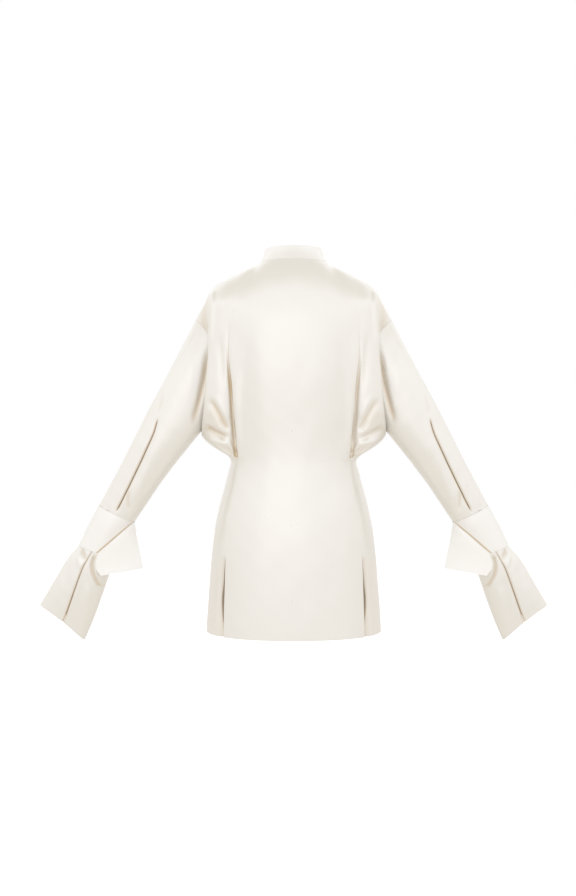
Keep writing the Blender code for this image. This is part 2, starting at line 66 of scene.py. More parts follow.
# How round an arm is: 1 is an ellipse, less is flatter before and behind
ARM_FLATNESS = 0.70

# Spans of a crease's curve between two of its points, and how many widths it reaches
CREASE_SPANS = 8
CREASE_REACH = 3.0

# Keeps a crease that doesn't fade from having a fade of no length
FADE_MARGIN = 0.001

# Depth over width from which a crease gets painted shade, the range to the full amount, and that
# amount
PAINTED_SHADE_FROM, PAINTED_SHADE_RANGE, PAINTED_SHADE_MOST = 0.3, 2.2, 0.8

# How many columns beside a cut take part in it
CUT_COLUMNS = 40

# What turns points over to the wearer's other side
MIRROR = np.array([-1.0, 1.0, 1.0])

# Where the camera stands
VIEW_DISTANCE = 2.0
VIEW_HEIGHT = -0.423
VIEW_SHIFT = 0.0131


class Side(Enum):
    """The two sides of the wearer, as the sign of x."""

    LEFT = 1
    RIGHT = -1

    @property
    def word(self) -> str:
        """The side as it stands in a node's name."""
        return self.name.lower()


class Edge(Enum):
    """The four edges of a grid of cloth."""

    TOP = "top"
    BOTTOM = "bottom"
    START = "start"
    END = "end"


class Held(Enum):
    """How a piece of cloth is held."""

    HUNG = "hung"
    GATHERED = "gathered"
    FOLDED = "folded"


def blend(start: Numbers, end: Numbers, share: Numbers) -> Numbers:
    """The value a share of the way from start to end."""
    return start + (end - start) * share


def smooth_rise(value: Numbers, low: float, high: float) -> Numbers:
    """0 at low, 1 at high, with an S-shaped rise between."""
    share = np.clip((value - low) / (high - low), 0.0, 1.0)
    return share * share * (3.0 - 2.0 * share)


def hermite(start: Numbers, end: Numbers, leave: Numbers, arrive: Numbers,
            t: float) -> Numbers:
    """Cubic curve from start to end with the given tangents.

    Args:
        start: where the curve starts.
        end: where it ends.
        leave: its way and speed at the start.
        arrive: its way and speed at the end.
        t: how far along it, from 0 to 1.

    Returns:
        The point, or points, there.
    """
    return (
        start * (2 * t ** 3 - 3 * t ** 2 + 1)
        + leave * (t ** 3 - 2 * t ** 2 + t)
        + end * (3 * t ** 2 - 2 * t ** 3)
        + arrive * (t ** 3 - t ** 2)
    )


def spline(points: np.ndarray, steps: Sequence[int]) -> np.ndarray:
    """Smooth curve, or smooth sheet, through points along the first axis.

    Args:
        points: the points, or whole rows of points, to pass through.
        steps: how many spans to put after each of them but the last.

    Returns:
        The points, or rows of points, along the curve.
    """
    points = np.asarray(points, float)
    chords = np.sqrt(np.linalg.norm(np.diff(points, axis=0), axis=-1))
    chords = chords.reshape(len(points) - 1, -1).mean(axis=1)
    knots = np.concatenate([[0.0], np.cumsum(np.maximum(chords, 1e-4))])
    spans = np.diff(knots).reshape((-1,) + (1,) * (points.ndim - 1))
    slopes = np.diff(points, axis=0) / spans
    tangents = np.empty_like(points)
    tangents[0] = slopes[0]
    tangents[-1] = slopes[-1]
    before, after = spans[:-1], spans[1:]
    tangents[1:-1] = (slopes[:-1] * after + slopes[1:] * before) / (before + after)
    found = [points[0]]
    for i, count in enumerate(steps):
        for k in range(1, count + 1):
            found.append(hermite(points[i], points[i + 1], tangents[i] * spans[i],
                                 tangents[i + 1] * spans[i], k / count))
    return np.array(found)


def row_places(steps: Sequence[int]) -> np.ndarray:
    """Where each fine row lies, counted in the rows that the curve passes through."""
    return np.concatenate([[0.0], *(i + np.arange(1, n + 1) / n for i, n in enumerate(steps))])


def shares_below(steps: Sequence[int], row: int) -> np.ndarray:
    """How far each fine row lies from a row to the last one, from 0 to 1."""
    return np.clip((row_places(steps) - row) / (len(steps) - row), 0.0, 1.0)


def distances(points: np.ndarray, axis: int = 0) -> np.ndarray:
    """How far each point lies from the first one, along the axis.

    Args:
        points: a line or a grid of points.
        axis: the axis that they run along.

    Returns:
        The way along them to each point.
    """
    steps = np.linalg.norm(np.diff(points, axis=axis), axis=-1)
    before = [(int(i == axis), 0) for i in range(steps.ndim)]
    return np.pad(np.cumsum(steps, axis=axis), before)


def evened_down(levels: np.ndarray, values: np.ndarray, reach: float,
                step: float = 0.002) -> np.ndarray:
    """Values that run down a column, evened over their height.

    Args:
        levels: the height of each value, highest first.
        values: what is evened.
        reach: how far up and down each value takes part.
        step: the spacing of the levels that it is done on.

    Returns:
        The evened values, which keep their slope at both ends.
    """
    even = np.arange(levels[-1], levels[0], step)
    found = np.interp(even, levels[::-1], values[::-1])
    margin = int(2.5 * reach / step)
    weights = np.exp(-(np.arange(-margin, margin + 1) * step / reach) ** 2)
    found = np.pad(found, margin, mode="reflect", reflect_type="odd")
    found = np.convolve(found, weights / weights.sum(), mode="valid")
    return np.interp(levels, even, found)


def unit(vectors: np.ndarray) -> np.ndarray:
    """The vectors at length 1."""
    return vectors / np.maximum(np.linalg.norm(vectors, axis=-1, keepdims=True), 1e-12)


def seen_from_behind(points: np.ndarray) -> np.ndarray:
    """x and z of points as they appear from behind, on the plane of the shoulders.

    A point in front of the shoulders is taken as if it lay as far behind them.

    Args:
        points: places in the scene.

    Returns:
        Their x and z there.
    """
    eye = np.array([VIEW_SHIFT, VIEW_HEIGHT])
    nearer = VIEW_DISTANCE / (VIEW_DISTANCE - np.abs(points[..., 1:2]))
    return eye + (points[..., ::2] - eye) * nearer


def mesh_of(name: str, build: bmesh.types.BMesh) -> bpy.types.Mesh:
    """The mesh of a bmesh, which is freed.

    Args:
        name: the mesh's name.
        build: what it is made of.

    Returns:
        The new mesh.
    """
    mesh = bpy.data.meshes.new(name)
    build.to_mesh(mesh)
    build.free()
    return mesh


def placed(name: str, data: bpy.types.ID) -> bpy.types.Object:
    """A new object in the scene.

    Args:
        name: the object's name.
        data: its mesh, light or camera.

    Returns:
        The new object.
    """
    piece = bpy.data.objects.new(name, data)
    bpy.context.collection.objects.link(piece)
    return piece


@dataclass(frozen=True)
class Crease:
    """A soft trough or ridge in the cloth, along a line seen from behind.

    Attributes:
        line: (x, z) of the points that the crease runs through.
        depth: how far the cloth sinks, or rises where it is below zero.
        width: half of the crease's width.
        fade: the shares of the line over which it comes in and dies away.
        lean: the share of its two flanks' widths; 1 is even.
        extra_painted_shade: how much painted shade it gets beyond what its depth alone paints.
    """

    line: tuple[Pair, ...]
    depth: float
    width: float
    fade: Pair = (0.3, 0.3)
    lean: float = 1.0
    extra_painted_shade: float = 0.0

    def mirrored(self, aside: float = 0.0, down: float = 0.0, deeper: float = 1.0) -> "Crease":
        """The crease on the other side, a little off its twin's place and depth.

        Args:
            aside: how far it is moved towards +X.
            down: how far it is moved down.
            deeper: a factor on its depth.

        Returns:
            The new crease.
        """
        line = tuple((-x + aside, z - down) for x, z in self.line)
        return Crease(line, self.depth * deeper, self.width * self.lean, self.fade,
                      1.0 / self.lean, self.extra_painted_shade)

    def profile(self, seen: np.ndarray) -> np.ndarray:
        """How strong the crease is at each seen point, from 0 to 1.

        Args:
            seen: x and z of the points, as they appear from behind.

        Returns:
            The strength at each point.
        """
        line = spline(np.array(self.line), [CREASE_SPANS] * (len(self.line) - 1))
        lengths = distances(line)
        margin = CREASE_REACH * self.width * max(self.lean, 1.0 / self.lean)
        low, high = line.min(axis=0) - margin, line.max(axis=0) + margin
        near = np.all((seen > low) & (seen < high), axis=-1)
        strength = np.zeros(seen.shape[:-1])
        if not near.any():
            return strength
        points = seen[near]
        best = np.full(len(points), 1e9)
        along = np.zeros(len(points))
        flank = np.ones(len(points))
        for i in range(len(line) - 1):
            step = line[i + 1] - line[i]
            offset = points - line[i]
            share = np.clip(offset @ step / (step @ step), 0.0, 1.0)
            away = offset - share[:, None] * step
            distance = np.linalg.norm(away, axis=1)
            closer = distance < best
            best[closer] = distance[closer]
            along[closer] = (lengths[i] + share * (lengths[i + 1] - lengths[i]))[closer]
            turned = step[0] * away[:, 1] - step[1] * away[:, 0]
            flank[closer] = np.sign(turned)[closer]
        share = along / lengths[-1]
        width = np.where(flank > 0, self.width * self.lean, self.width)
        found = np.exp(-(best / width) ** 2)
        found *= smooth_rise(share, -FADE_MARGIN, self.fade[0])
        found *= 1.0 - smooth_rise(share, 1.0 - self.fade[1], 1.0 + FADE_MARGIN)
        strength[near] = found
        return strength


class ClothGrid:
    """A grid of points on the outer side of a piece of cloth.

    Columns and rows run so that the outer side is the one that the cross product
    of a step across and a step down points to.
    """

    def __init__(self, points: np.ndarray) -> None:
        """Takes the grid's points, rows by columns by three.

        Args:
            points: where they lie, and they are copied.
        """
        self.points = np.array(points, float)
        # Painted shade at each point, 0 to 1, which turns the satin's colour towards dark
        # gold-brown.
        self.painted_shade = np.zeros(self.points.shape[:2])
        self.missing: list[int] = []

    def normals(self) -> np.ndarray:
        """The outward direction at each point.

        Returns:
            Directions of length 1.
        """
        down = np.gradient(self.points, axis=0)
        across = np.gradient(self.points, axis=1)
        return unit(np.cross(across, down))

    def relax(self, passes: int, share: float = 0.5) -> None:
        """Evens the cloth's curvature; its edges stay where they are.

        Args:
            passes: how many times.
            share: how far each point moves towards the middle of its neighbours.
        """
        grid = self.points
        for _ in range(passes):
            grid[1:-1] += share * ((grid[:-2] + grid[2:]) / 2 - grid[1:-1])
            grid[:, 1:-1] += share * ((grid[:, :-2] + grid[:, 2:]) / 2 - grid[:, 1:-1])

    def press(self, creases: Sequence[Crease], strength: float = 1.0,
              where: np.ndarray | None = None) -> None:
        """Presses creases into the cloth.

        Args:
            creases: the troughs and ridges.
            strength: a factor on their depths.
            where: the share of each depth that each point takes.
        """
        seen = seen_from_behind(self.points)
        sunk = np.zeros(seen.shape[:2])
        for crease in creases:
            found = crease.profile(seen) * strength
            if where is not None:
                found = found * where
            sunk += crease.depth * found
            # Painted shade: steep creases, and those given extra shade, darken and warm the
            # cloth's colour where they press.
            steep = (crease.depth / crease.width - PAINTED_SHADE_FROM) / PAINTED_SHADE_RANGE
            self.painted_shade += (np.clip(steep, 0.0, PAINTED_SHADE_MOST) + crease.extra_painted_shade) * found
        self.points -= self.normals() * sunk[..., None]
        self.relax(passes=2, share=0.4)

    def ripple(self, height: float, length: float, seed: float) -> None:
        """Gives the cloth a slight unevenness.

        Args:
            height: how far it rises and sinks.
            length: from one swell to the next.
            seed: shifts the pattern, so that no two pieces have the same.
        """
        x, y, z = (self.points[..., i] / length * math.tau for i in range(3))
        wave = (
            np.sin(0.9 * x + 0.5 * z + seed) * np.sin(0.6 * z - 0.4 * y + 1.7 * seed)
            + 0.6 * np.sin(1.7 * x - 0.8 * z + 2.3 * seed) * np.sin(1.1 * z + 0.9 * y + seed)
            + 0.4 * np.sin(2.3 * y + 1.9 * x + 0.7 * z + 3.1 * seed)
        )
        self.points += self.normals() * (wave * height / 2)[..., None]

    def turn(self, edge: Edge, gap: float, reach: float, under: bool = False) -> None:
        """Turns the cloth's edge in.

        Args:
            edge: which edge.
            gap: how far inside the cloth the turned part lies.
            reach: how far it runs.
            under: True to run on under the neighbouring piece, False to fold back.
        """
        grid = self._edge_first(self.points, edge)
        normals = self.normals()
        for column in self.missing:
            normals[:, column] = normals[:, column - 1]
            normals[:, column + 1] = normals[:, column + 2]
        normals = self._edge_first(normals, edge)[0]
        painted_shade = self._edge_first(self.painted_shade, edge)
        back = unit(grid[2] - grid[0])
        run = -back if under else back
        first = grid[0] - normals * gap + run * (0.3 * gap)
        second = first + run * reach
        near = grid[0] + back * (0.5 * gap)
        grid = np.concatenate([[second, first, grid[0], near], grid[1:]])
        painted_shade = np.concatenate([painted_shade[[0, 0, 0]], painted_shade])
        self.points = self._edge_back(grid, edge)
        self.painted_shade = self._edge_back(painted_shade, edge)
        if edge is Edge.START:
            self.missing = [column + 3 for column in self.missing]

    def cut(self, column: int, share: np.ndarray, shifts: Pair,
            curls: Pair, width: float, extra_painted_shade: float,
            parted: np.ndarray | None = None) -> None:
        """Cuts the cloth along a column and parts it, its edges curled in.

        Args:
            column: the column to cut along.
            share: how open the cut is at each row, 0 where the cloth stays whole.
            shifts: how far the edge before and the edge after the cut move away from
                it where it is fully open; below zero they pass under each other.
            curls: how deep those edges turn in there.
            width: how far from the cut the cloth takes part.
            extra_painted_shade: how much painted shade the curled edges get.
            parted: how far its edges have moved apart at each row; share, if None.
        """
        normals = self.normals()[:, column]
        across = unit(self.points[:, column + 3] - self.points[:, column - 3])
        self.points = np.insert(self.points, column, self.points[:, column], axis=1)
        self.painted_shade = np.insert(self.painted_shade, column, self.painted_shade[:, column], axis=1)
        grid = self.points
        open_share = share[:, None]
        apart = open_share if parted is None else parted[:, None]
        for start, run, shift, curl in ((column, -1, shifts[0], curls[0]),
                                        (column + 1, 1, shifts[1], curls[1])):
            stop = grid.shape[1] if run > 0 else -1
            columns = np.arange(start, stop, run)[:CUT_COLUMNS]
            near = np.clip(1.0 - distances(grid[:, columns], 1) / width, 0.0, 1.0) ** 2
            aside = near * apart * shift * run
            grid[:, columns] += across[:, None] * aside[..., None]
            grid[:, columns] -= normals[:, None] * (curl * near * open_share)[..., None]
            # Only edges that curl in get painted shade.
            if curl > 0.0:
                self.painted_shade[:, columns] += extra_painted_shade * near * open_share
        self.missing = [gap + 1 if gap >= column else gap for gap in self.missing] + [column]

    @staticmethod
    def _edge_first(grid: np.ndarray, edge: Edge) -> np.ndarray:
        """The grid turned so that its first row is that edge.

        Args:
            grid: the points, or one value for each of them.
            edge: the edge.

        Returns:
            The turned grid.
        """
        if edge in (Edge.START, Edge.END):
            grid = np.swapaxes(grid, 0, 1)
        return grid[::-1] if edge in (Edge.BOTTOM, Edge.END) else grid

    @staticmethod
    def _edge_back(grid: np.ndarray, edge: Edge) -> np.ndarray:
        """The reverse of _edge_first.

        Args:
            grid: a grid that _edge_first has turned.
            edge: the edge.

        Returns:
            The grid as it lay before.
        """
        if edge in (Edge.BOTTOM, Edge.END):
            grid = grid[::-1]
        return np.swapaxes(grid, 0, 1) if edge in (Edge.START, Edge.END) else grid

    def mirrored(self) -> "ClothGrid":
        """The same cloth for the wearer's other side.

        Returns:
            The new cloth, its columns in the other order.
        """
        other = ClothGrid(self.points[:, ::-1] * MIRROR)
        other.painted_shade = self.painted_shade[:, ::-1].copy()
        other.missing = [self.points.shape[1] - 2 - column for column in self.missing]
        return other

    def spread(self) -> np.ndarray:
        """Where each point lies on the flat cloth, in metres."""
        return np.stack([distances(self.points, 1), -distances(self.points)], axis=-1)

    def make(self, name: str, material: bpy.types.Material, thickness: float,
             outwards: bool = False,
             inside: bpy.types.Material | None = None) -> bpy.types.Object:
        """Makes the piece as a thin shell.

        Args:
            name: the piece's name.
            material: its finish.
            thickness: of the cloth.
            outwards: True if the grid is the cloth's inner side.
            inside: the finish of the cloth's wrong side, where it differs.

        Returns:
            The new object.
        """
        rows, columns, _ = self.points.shape
        build = bmesh.new()
        bmesh.ops.create_grid(build, x_segments=columns - 1, y_segments=rows - 1, size=1.0)
        gone = [face for face in build.faces
                if int((face.calc_center_median().x + 1.0) / 2.0 * (columns - 1)) in self.missing]
        bmesh.ops.delete(build, geom=gone, context="FACES")
        mesh = mesh_of(name, build)
        flat = np.empty(len(mesh.vertices) * 3)
        mesh.vertices.foreach_get("co", flat)
        places = (flat.reshape(-1, 3)[:, :2] + 1.0) / 2.0 * (columns - 1, rows - 1)
        column, row = np.rint(places).astype(int).T
        mesh.vertices.foreach_set("co", self.points[row, column].ravel())
        # The painted shade goes to the mesh as a point attribute that the satin's colour reads.
        painted_shade = mesh.attributes.new("painted_shade", "FLOAT", "POINT")
        painted_shade.data.foreach_set("value", np.clip(self.painted_shade[row, column], 0.0, 1.0))
        corners = np.empty(len(mesh.loops), int)
        mesh.loops.foreach_get("vertex_index", corners)
        spread = self.spread()[row, column]
        mesh.uv_layers.new(name="cloth").data.foreach_set("uv", spread[corners].ravel())
        self._close(mesh)
        mesh.shade_smooth()
        mesh.materials.append(material)
        piece = placed(name, mesh)
        wall = piece.modifiers.new("cloth wall", "SOLIDIFY")
        wall.thickness = thickness
        wall.offset = 1.0 if outwards else -1.0
        if inside is not None:
            mesh.materials.append(inside)
            wall.material_offset = 1
        return piece

    @staticmethod
    def _close(mesh: bpy.types.Mesh) -> None:
        """Joins points that coincide and keeps the cloth's cut edges crisp.

        Args:
            mesh: the cloth's mesh, which is changed.
        """
        build = bmesh.new()
        build.from_mesh(mesh)
        bmesh.ops.remove_doubles(build, verts=build.verts, dist=1e-6)
        for edge in build.edges:
            edge.smooth = not edge.is_boundary
        build.to_mesh(mesh)
        build.free()


def declare(piece: bpy.types.Object, nodes: Sequence[str]) -> None:
    """Says what a piece rides on and stands for, and logs it.

    Args:
        piece: the new object.
        nodes: the solids that it stands for.
    """
    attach(piece, "root")
    if nodes:
        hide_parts(*nodes)
    LOG.info("%s: %d faces", piece.name, len(piece.data.polygons))


class Section(NamedTuple):
    """One level of the body, for one side.

    The fold ends the back panel, the tuck goes in beside it, the crest is the
    front of the bloused side, the edge is its outer fold, and the seam is the
    armhole down to the underarm and the side seam below it.
    """

    z: float
    back_y: float
    front_y: float
    fold_x: float
    fold_y: float
    tuck: float
    crest: Triple
    edge: Triple
    seam: Triple


class SkirtSection(NamedTuple):
    """One level of the skirt, for one side."""

    z: float
    side_z: float
    half_width: float
    back_y: float
    front_y: float
    fold_x: float


BODY = (
    Section(-0.100, 0.1075, 0.094, 0.1360, 0.083, 0.000, (0.1600, 0.0735, -0.1000),
            (0.1830, 0.055, -0.102), (0.2090, 0.017, -0.146)),
    Section(-0.130, 0.1130, 0.105, 0.1390, 0.086, 0.000, (0.1630, 0.0760, -0.1300),
            (0.1850, 0.058, -0.131), (0.1990, 0.024, -0.156)),
    Section(-0.165, 0.116, 0.115, 0.1415, 0.087, 0.001, (0.1660, 0.0775, -0.1650),
            (0.1875, 0.0595, -0.165), (0.1890, 0.028, -0.168)),
    Section(-0.205, 0.1175, 0.121, 0.1430, 0.088, 0.003, (0.1685, 0.0785, -0.2050),
            (0.1910, 0.061, -0.205), (0.1810, 0.030, -0.208)),
    Section(-0.245, 0.118, 0.121, 0.1425, 0.088, 0.006, (0.1710, 0.0795, -0.2450),
            (0.1950, 0.062, -0.245), (0.1790, 0.030, -0.250)),
    Section(-0.285, 0.116, 0.116, 0.1390, 0.087, 0.010, (0.1730, 0.0800, -0.2850),
            (0.1985, 0.062, -0.285), (0.1820, 0.027, -0.292)),
    Section(-0.325, 0.113, 0.109, 0.1355, 0.085, 0.014, (0.1740, 0.0795, -0.3250),
            (0.2020, 0.060, -0.325), (0.1870, 0.020, -0.332)),
    Section(-0.360, 0.110, 0.104, 0.1325, 0.082, 0.016, (0.1735, 0.0780, -0.3580),
            (0.2050, 0.054, -0.356), (0.1970, 0.010, -0.364)),
    Section(-0.390, 0.108, 0.100, 0.1300, 0.078, 0.017, (0.1710, 0.0750, -0.3860),
            (0.2060, 0.041, -0.379), (0.2120, 0.000, -0.388)),
    Section(-0.418, 0.1065, 0.098, 0.1280, 0.073, 0.012, (0.1660, 0.0720, -0.4120),
            (0.2030, 0.034, -0.398), (0.2095, 0.000, -0.397)),
    Section(-0.440, 0.1055, 0.097, 0.1265, 0.067, 0.005, (0.1580, 0.066, -0.4335),
            (0.1925, 0.034, -0.4125), (0.2030, 0.000, -0.405)),
    Section(-0.448, 0.105, 0.0965, 0.1255, 0.0625, 0.002, (0.1470, 0.058, -0.4395),
            (0.1720, 0.033, -0.426), (0.1810, 0.000, -0.419)),
)
SKIRT = (
    SkirtSection(-0.453, -0.440, 0.1440, 0.105, 0.096, 0.1250),
    SkirtSection(-0.478, -0.473, 0.1490, 0.107, 0.098, 0.1275),
    SkirtSection(-0.510, -0.508, 0.1570, 0.111, 0.102, 0.1325),
    SkirtSection(-0.550, -0.550, 0.1685, 0.116, 0.106, 0.1395),
    SkirtSection(-0.605, -0.605, 0.1800, 0.121, 0.111, 0.1475),
    SkirtSection(-0.662, -0.662, 0.1875, 0.125, 0.115, 0.1527),
    SkirtSection(-0.720, -0.720, 0.1918, 0.127, 0.118, 0.1540),
    SkirtSection(-0.780, -0.780, 0.1965, 0.129, 0.120, 0.1555),
    SkirtSection(-0.838, -0.838, 0.2000, 0.130, 0.122, 0.1565),
)

# The left side's folds of the bloused body, from the shoulder to the waist; steep folds, and
# those given extra shade, paint shade into the cloth.
BODY_CREASES = (
    Crease(((0.1530, -0.190), (0.1505, -0.220), (0.1442, -0.285), (0.1392, -0.370),
            (0.1370, -0.398), (0.1300, -0.448)), 0.0030, 0.0012, (0.35, 0.02), 2.6),
    Crease(((0.1833, -0.056), (0.1845, -0.106), (0.1888, -0.165), (0.1970, -0.220)),
           -0.0048, 0.0024, (0.10, 0.40), 6.0),
    # Nearly flat: mostly painted shade over the dropped shoulder's cap.
    Crease(((0.2030, -0.070), (0.2050, -0.115), (0.2020, -0.165)),
           0.0004, 0.0120, (0.15, 0.15), 1.0, 0.34),
    Crease(((0.098, -0.124), (0.110, -0.221), (0.120, -0.313), (0.121, -0.382),
            (0.117, -0.439)), 0.0018, 0.0070, (0.35, 0.20)),
    Crease(((0.130, -0.240), (0.131, -0.313), (0.129, -0.382), (0.125, -0.432)),
           -0.0016, 0.0036, (0.40, 0.20)),
    Crease(((0.172, -0.140), (0.168, -0.200), (0.163, -0.262), (0.158, -0.306)),
           0.0030, 0.0065, (0.40, 0.40)),
    # Nearly flat: mostly painted shade on the bloused side below the armhole.
    Crease(((0.202, -0.334), (0.182, -0.356), (0.160, -0.378)),
           0.0002, 0.0150, (0.30, 0.30), 1.0, 0.24),
    Crease(((0.195, -0.306), (0.184, -0.324), (0.168, -0.350), (0.148, -0.385)),
           0.0066, 0.0038, (0.25, 0.15), 1.7),
    Crease(((0.186, -0.296), (0.172, -0.318), (0.157, -0.346), (0.146, -0.368)),
           -0.0026, 0.0042, (0.35, 0.30)),
    Crease(((0.208, -0.372), (0.192, -0.382), (0.172, -0.391), (0.148, -0.400)),
           0.0095, 0.0062, (0.20, 0.25), 1.7),
    Crease(((0.204, -0.400), (0.184, -0.408), (0.160, -0.412), (0.142, -0.420)),
           -0.0022, 0.0048, (0.30, 0.30)),
    Crease(((0.160, -0.412), (0.146, -0.428), (0.131, -0.445)),
           0.0032, 0.0024, (0.50, 0.10)),
    Crease(((0.150, -0.386), (0.140, -0.414), (0.131, -0.438)),
           0.0028, 0.0024, (0.50, 0.10)),
    Crease(((0.178, -0.405), (0.158, -0.424), (0.138, -0.444)),
           0.0022, 0.0022, (0.50, 0.10)),
)


@dataclass
class Body:
    """Back and fronts, from the neck to the hem.

    Attributes:
        satin, wrong_side: the finishes of the cloth's two sides; the wrong side is matte, and its
            dark gold-brown is painted shade.
        neck_half_width, neck_back, neck_front: the neckline's reach aside, behind, before.
        neck_front_drop, neck_scoop: how far its front dips, and how late it starts to.
        shoulder_tip, armhole_top: x and z of the shoulder line's bend and of its end.
        shoulder_bend: how much its slope grows on the way out; 1 is straight.
        shoulder_rows, shoulder_fine: rows above the first section, fine rows in each.
        level_rows, waist_level, waist_rows: fine rows between two sections, and fewer of
            them from the section at waist_level on.
        shoulder_leave, shoulder_arrive: how strongly the cloth runs on at the shoulder
            line and into the first section, by x, y and z.
        panel_shares: where the middle panel's columns lie, as shares of the way to its fold.
        panel_squareness: how long the panel stays flat before it turns to its fold.
        trough_depth, trough_levels: the hollow before the fold, and the heights at which
            it starts, is full, starts to fade and ends.
        tuck_line_share, tuck_pull_in: where the tuck lies on the way from fold to crest,
            and how much of its depth goes in under the panel.
        rise_line_share, rise_drop: where the rise out of the tuck lies, and how much of
            the tuck's depth it has.
        skirt_squareness: 2 makes the skirt's section an ellipse, more makes it squarer.
        skirt_side_shares: where its columns lie on the way from fold to side seam.
        column_steps, finer: columns between two lines, and fine columns in each.
        even_passes: how often the curvature is evened.
        corner_rows: the fine rows over which the top edge gets its corners back.
        panel_middle, panel_passes: the share of the panel whose depth is evened in full,
            and how often that is done at the top.
        panel_levels, panel_reach: how far down the other way of evening takes over, and
            how far each point takes part in it.
        neck_column, fold_column, edge_column: where the neckline, the panel and the
            straight part of the shoulder line end.
        vent_top_place: the row at which the hem vents start.
        vent_shifts, vent_curls, vent_width, vent_painted_shade: how their edges part and turn,
        and the painted shade on the turned edges.
        vent_parting, vent_curling: how much less they do so at the hem, and from where.
        fold_painted_shade, fold_painted_shade_columns: the painted shade in the tuck, how many
        columns beyond the fold it lies and how wide it is.
        twin_aside, twin_down, twin_depth: how much a fold differs from its twin.
        front_aside, front_strengths: how the fronts' folds differ from the back's.
    """

    satin: bpy.types.Material
    wrong_side: bpy.types.Material
    neck_half_width: float = 0.0765
    neck_back: float = 0.060
    neck_front: float = 0.078
    neck_front_drop: float = 0.068
    neck_scoop: float = 1.5
    shoulder_tip: Pair = (0.182, -0.052)
    armhole_top: Pair = (0.225, -0.130)
    shoulder_bend: float = 1.15
    shoulder_rows: int = 4
    shoulder_fine: int = 9
    level_rows: int = 10
    waist_level: int = 9
    waist_rows: tuple[int, ...] = (8, 5, 4)
    shoulder_leave: Triple = (1.0, 1.9, 0.4)
    shoulder_arrive: Triple = (0.6, 0.45, 1.3)
    panel_shares: tuple[float, ...] = (0.0, 0.33, 0.58, 0.80)
    panel_squareness: float = 2.5
    trough_depth: float = 0.005
    trough_levels: tuple[float, float, float, float] = (-0.12, -0.24, -0.38, -0.45)
    tuck_line_share: float = 0.13
    tuck_pull_in: float = 0.5
    rise_line_share: float = 0.29
    rise_drop: float = 0.15
    skirt_squareness: float = 2.3
    skirt_side_shares: tuple[float, ...] = (0.12, 0.26, 0.50, 0.76, 1.0)
    column_steps: tuple[int, ...] = (2, 2, 2, 2, 2, 2, 2, 3, 3)
    finer: int = 4
    even_passes: int = 12
    corner_rows: float = 9.0
    panel_middle: float = 0.55
    panel_passes: int = 160
    panel_levels: Pair = (0.14, 0.24)
    panel_reach: float = 0.045
    neck_column: int = 6
    fold_column: int = 8
    edge_column: int = 17
    vent_top_place: int = 21
    vent_shifts: Pair = (0.0, 0.0160)
    vent_curls: Pair = (-0.0008, 0.0130)
    vent_width: float = 0.030
    vent_painted_shade: float = 0.85
    vent_parting: Pair = (0.70, 0.45)
    vent_curling: Pair = (0.35, 0.60)
    fold_painted_shade: float = 0.48
    fold_painted_shade_columns: Pair = (2.2, 0.75)
    twin_aside: float = 0.001
    twin_down: float = 0.002
    twin_depth: float = 0.12
    front_aside: float = 0.0015
    front_strengths: Pair = (0.85, 0.95)
    placket_half_width: float = 0.015

    @property
    def row_steps(self) -> list[int]:
        """Fine rows between neighbouring levels.

        Returns:
            A number for each level but the last.
        """
        below = len(BODY) + len(SKIRT) - self.waist_level - len(self.waist_rows) - 1
        return [*[self.shoulder_fine] * self.shoulder_rows,
                *[self.level_rows] * self.waist_level, *self.waist_rows,
                *[self.level_rows] * below]

    def _body_lines(self, row: Section, centre_y: float) -> np.ndarray:
        """Points of one body section from its centre to its seam.

        Args:
            row: the section.
            centre_y: how deep its centre lies on this side.

        Returns:
            The points, from the centre out.
        """
        deeper = centre_y / row.back_y
        fold_y = row.fold_y * deeper
        stretch = np.array([1.0, deeper, 1.0])
        crest = np.array(row.crest) * stretch
        fold = np.array([row.fold_x, fold_y, row.z])
        top, full, fade, end = self.trough_levels
        trough = self.trough_depth * smooth_rise(-row.z, -top, -full)
        trough *= 1.0 - smooth_rise(-row.z, -fade, -end)
        lines = []
        for share in self.panel_shares:
            y = centre_y - (centre_y - fold_y) * share ** self.panel_squareness
            if share == self.panel_shares[-1]:
                y -= trough
            lines.append(np.array([row.fold_x * share, y, row.z]))
        lines.append(fold)
        tuck = blend(fold, crest, self.tuck_line_share)
        tuck += np.array([-self.tuck_pull_in, -1.0, 0.0]) * row.tuck
        lines.append(tuck)
        rise = blend(fold, crest, self.rise_line_share)
        rise[1] -= self.rise_drop * row.tuck
        lines += [rise, crest, np.array(row.edge) * stretch, np.array(row.seam) * stretch]
        return np.array(lines)

    def _skirt_lines(self, row: SkirtSection, centre_y: float) -> np.ndarray:
        """Fine points of one skirt section from its centre to its side seam.

        Args:
            row: the section.
            centre_y: how deep its centre lies on this side.

        Returns:
            The points, from the centre out.
        """
        power = 2.0 / self.skirt_squareness
        fold_angle = math.asin((row.fold_x / row.half_width) ** (1.0 / power))
        angles = [math.asin((share * row.fold_x / row.half_width) ** (1.0 / power))
                  for share in (*self.panel_shares, 1.0)]
        angles += [blend(fold_angle, math.pi / 2, share) for share in self.skirt_side_shares]
        columns = np.concatenate([[0], np.cumsum(self.column_steps)]) * self.finer
        angle = np.interp(np.arange(columns[-1] + 1), columns, angles)
        turned = np.maximum(angle - fold_angle, 0.0) / (math.pi / 2 - fold_angle)
        return np.stack([
            row.half_width * np.sin(angle) ** power,
            centre_y * np.maximum(np.cos(angle), 0.0) ** power,
            blend(row.z, row.side_z, turned),
        ], axis=1)

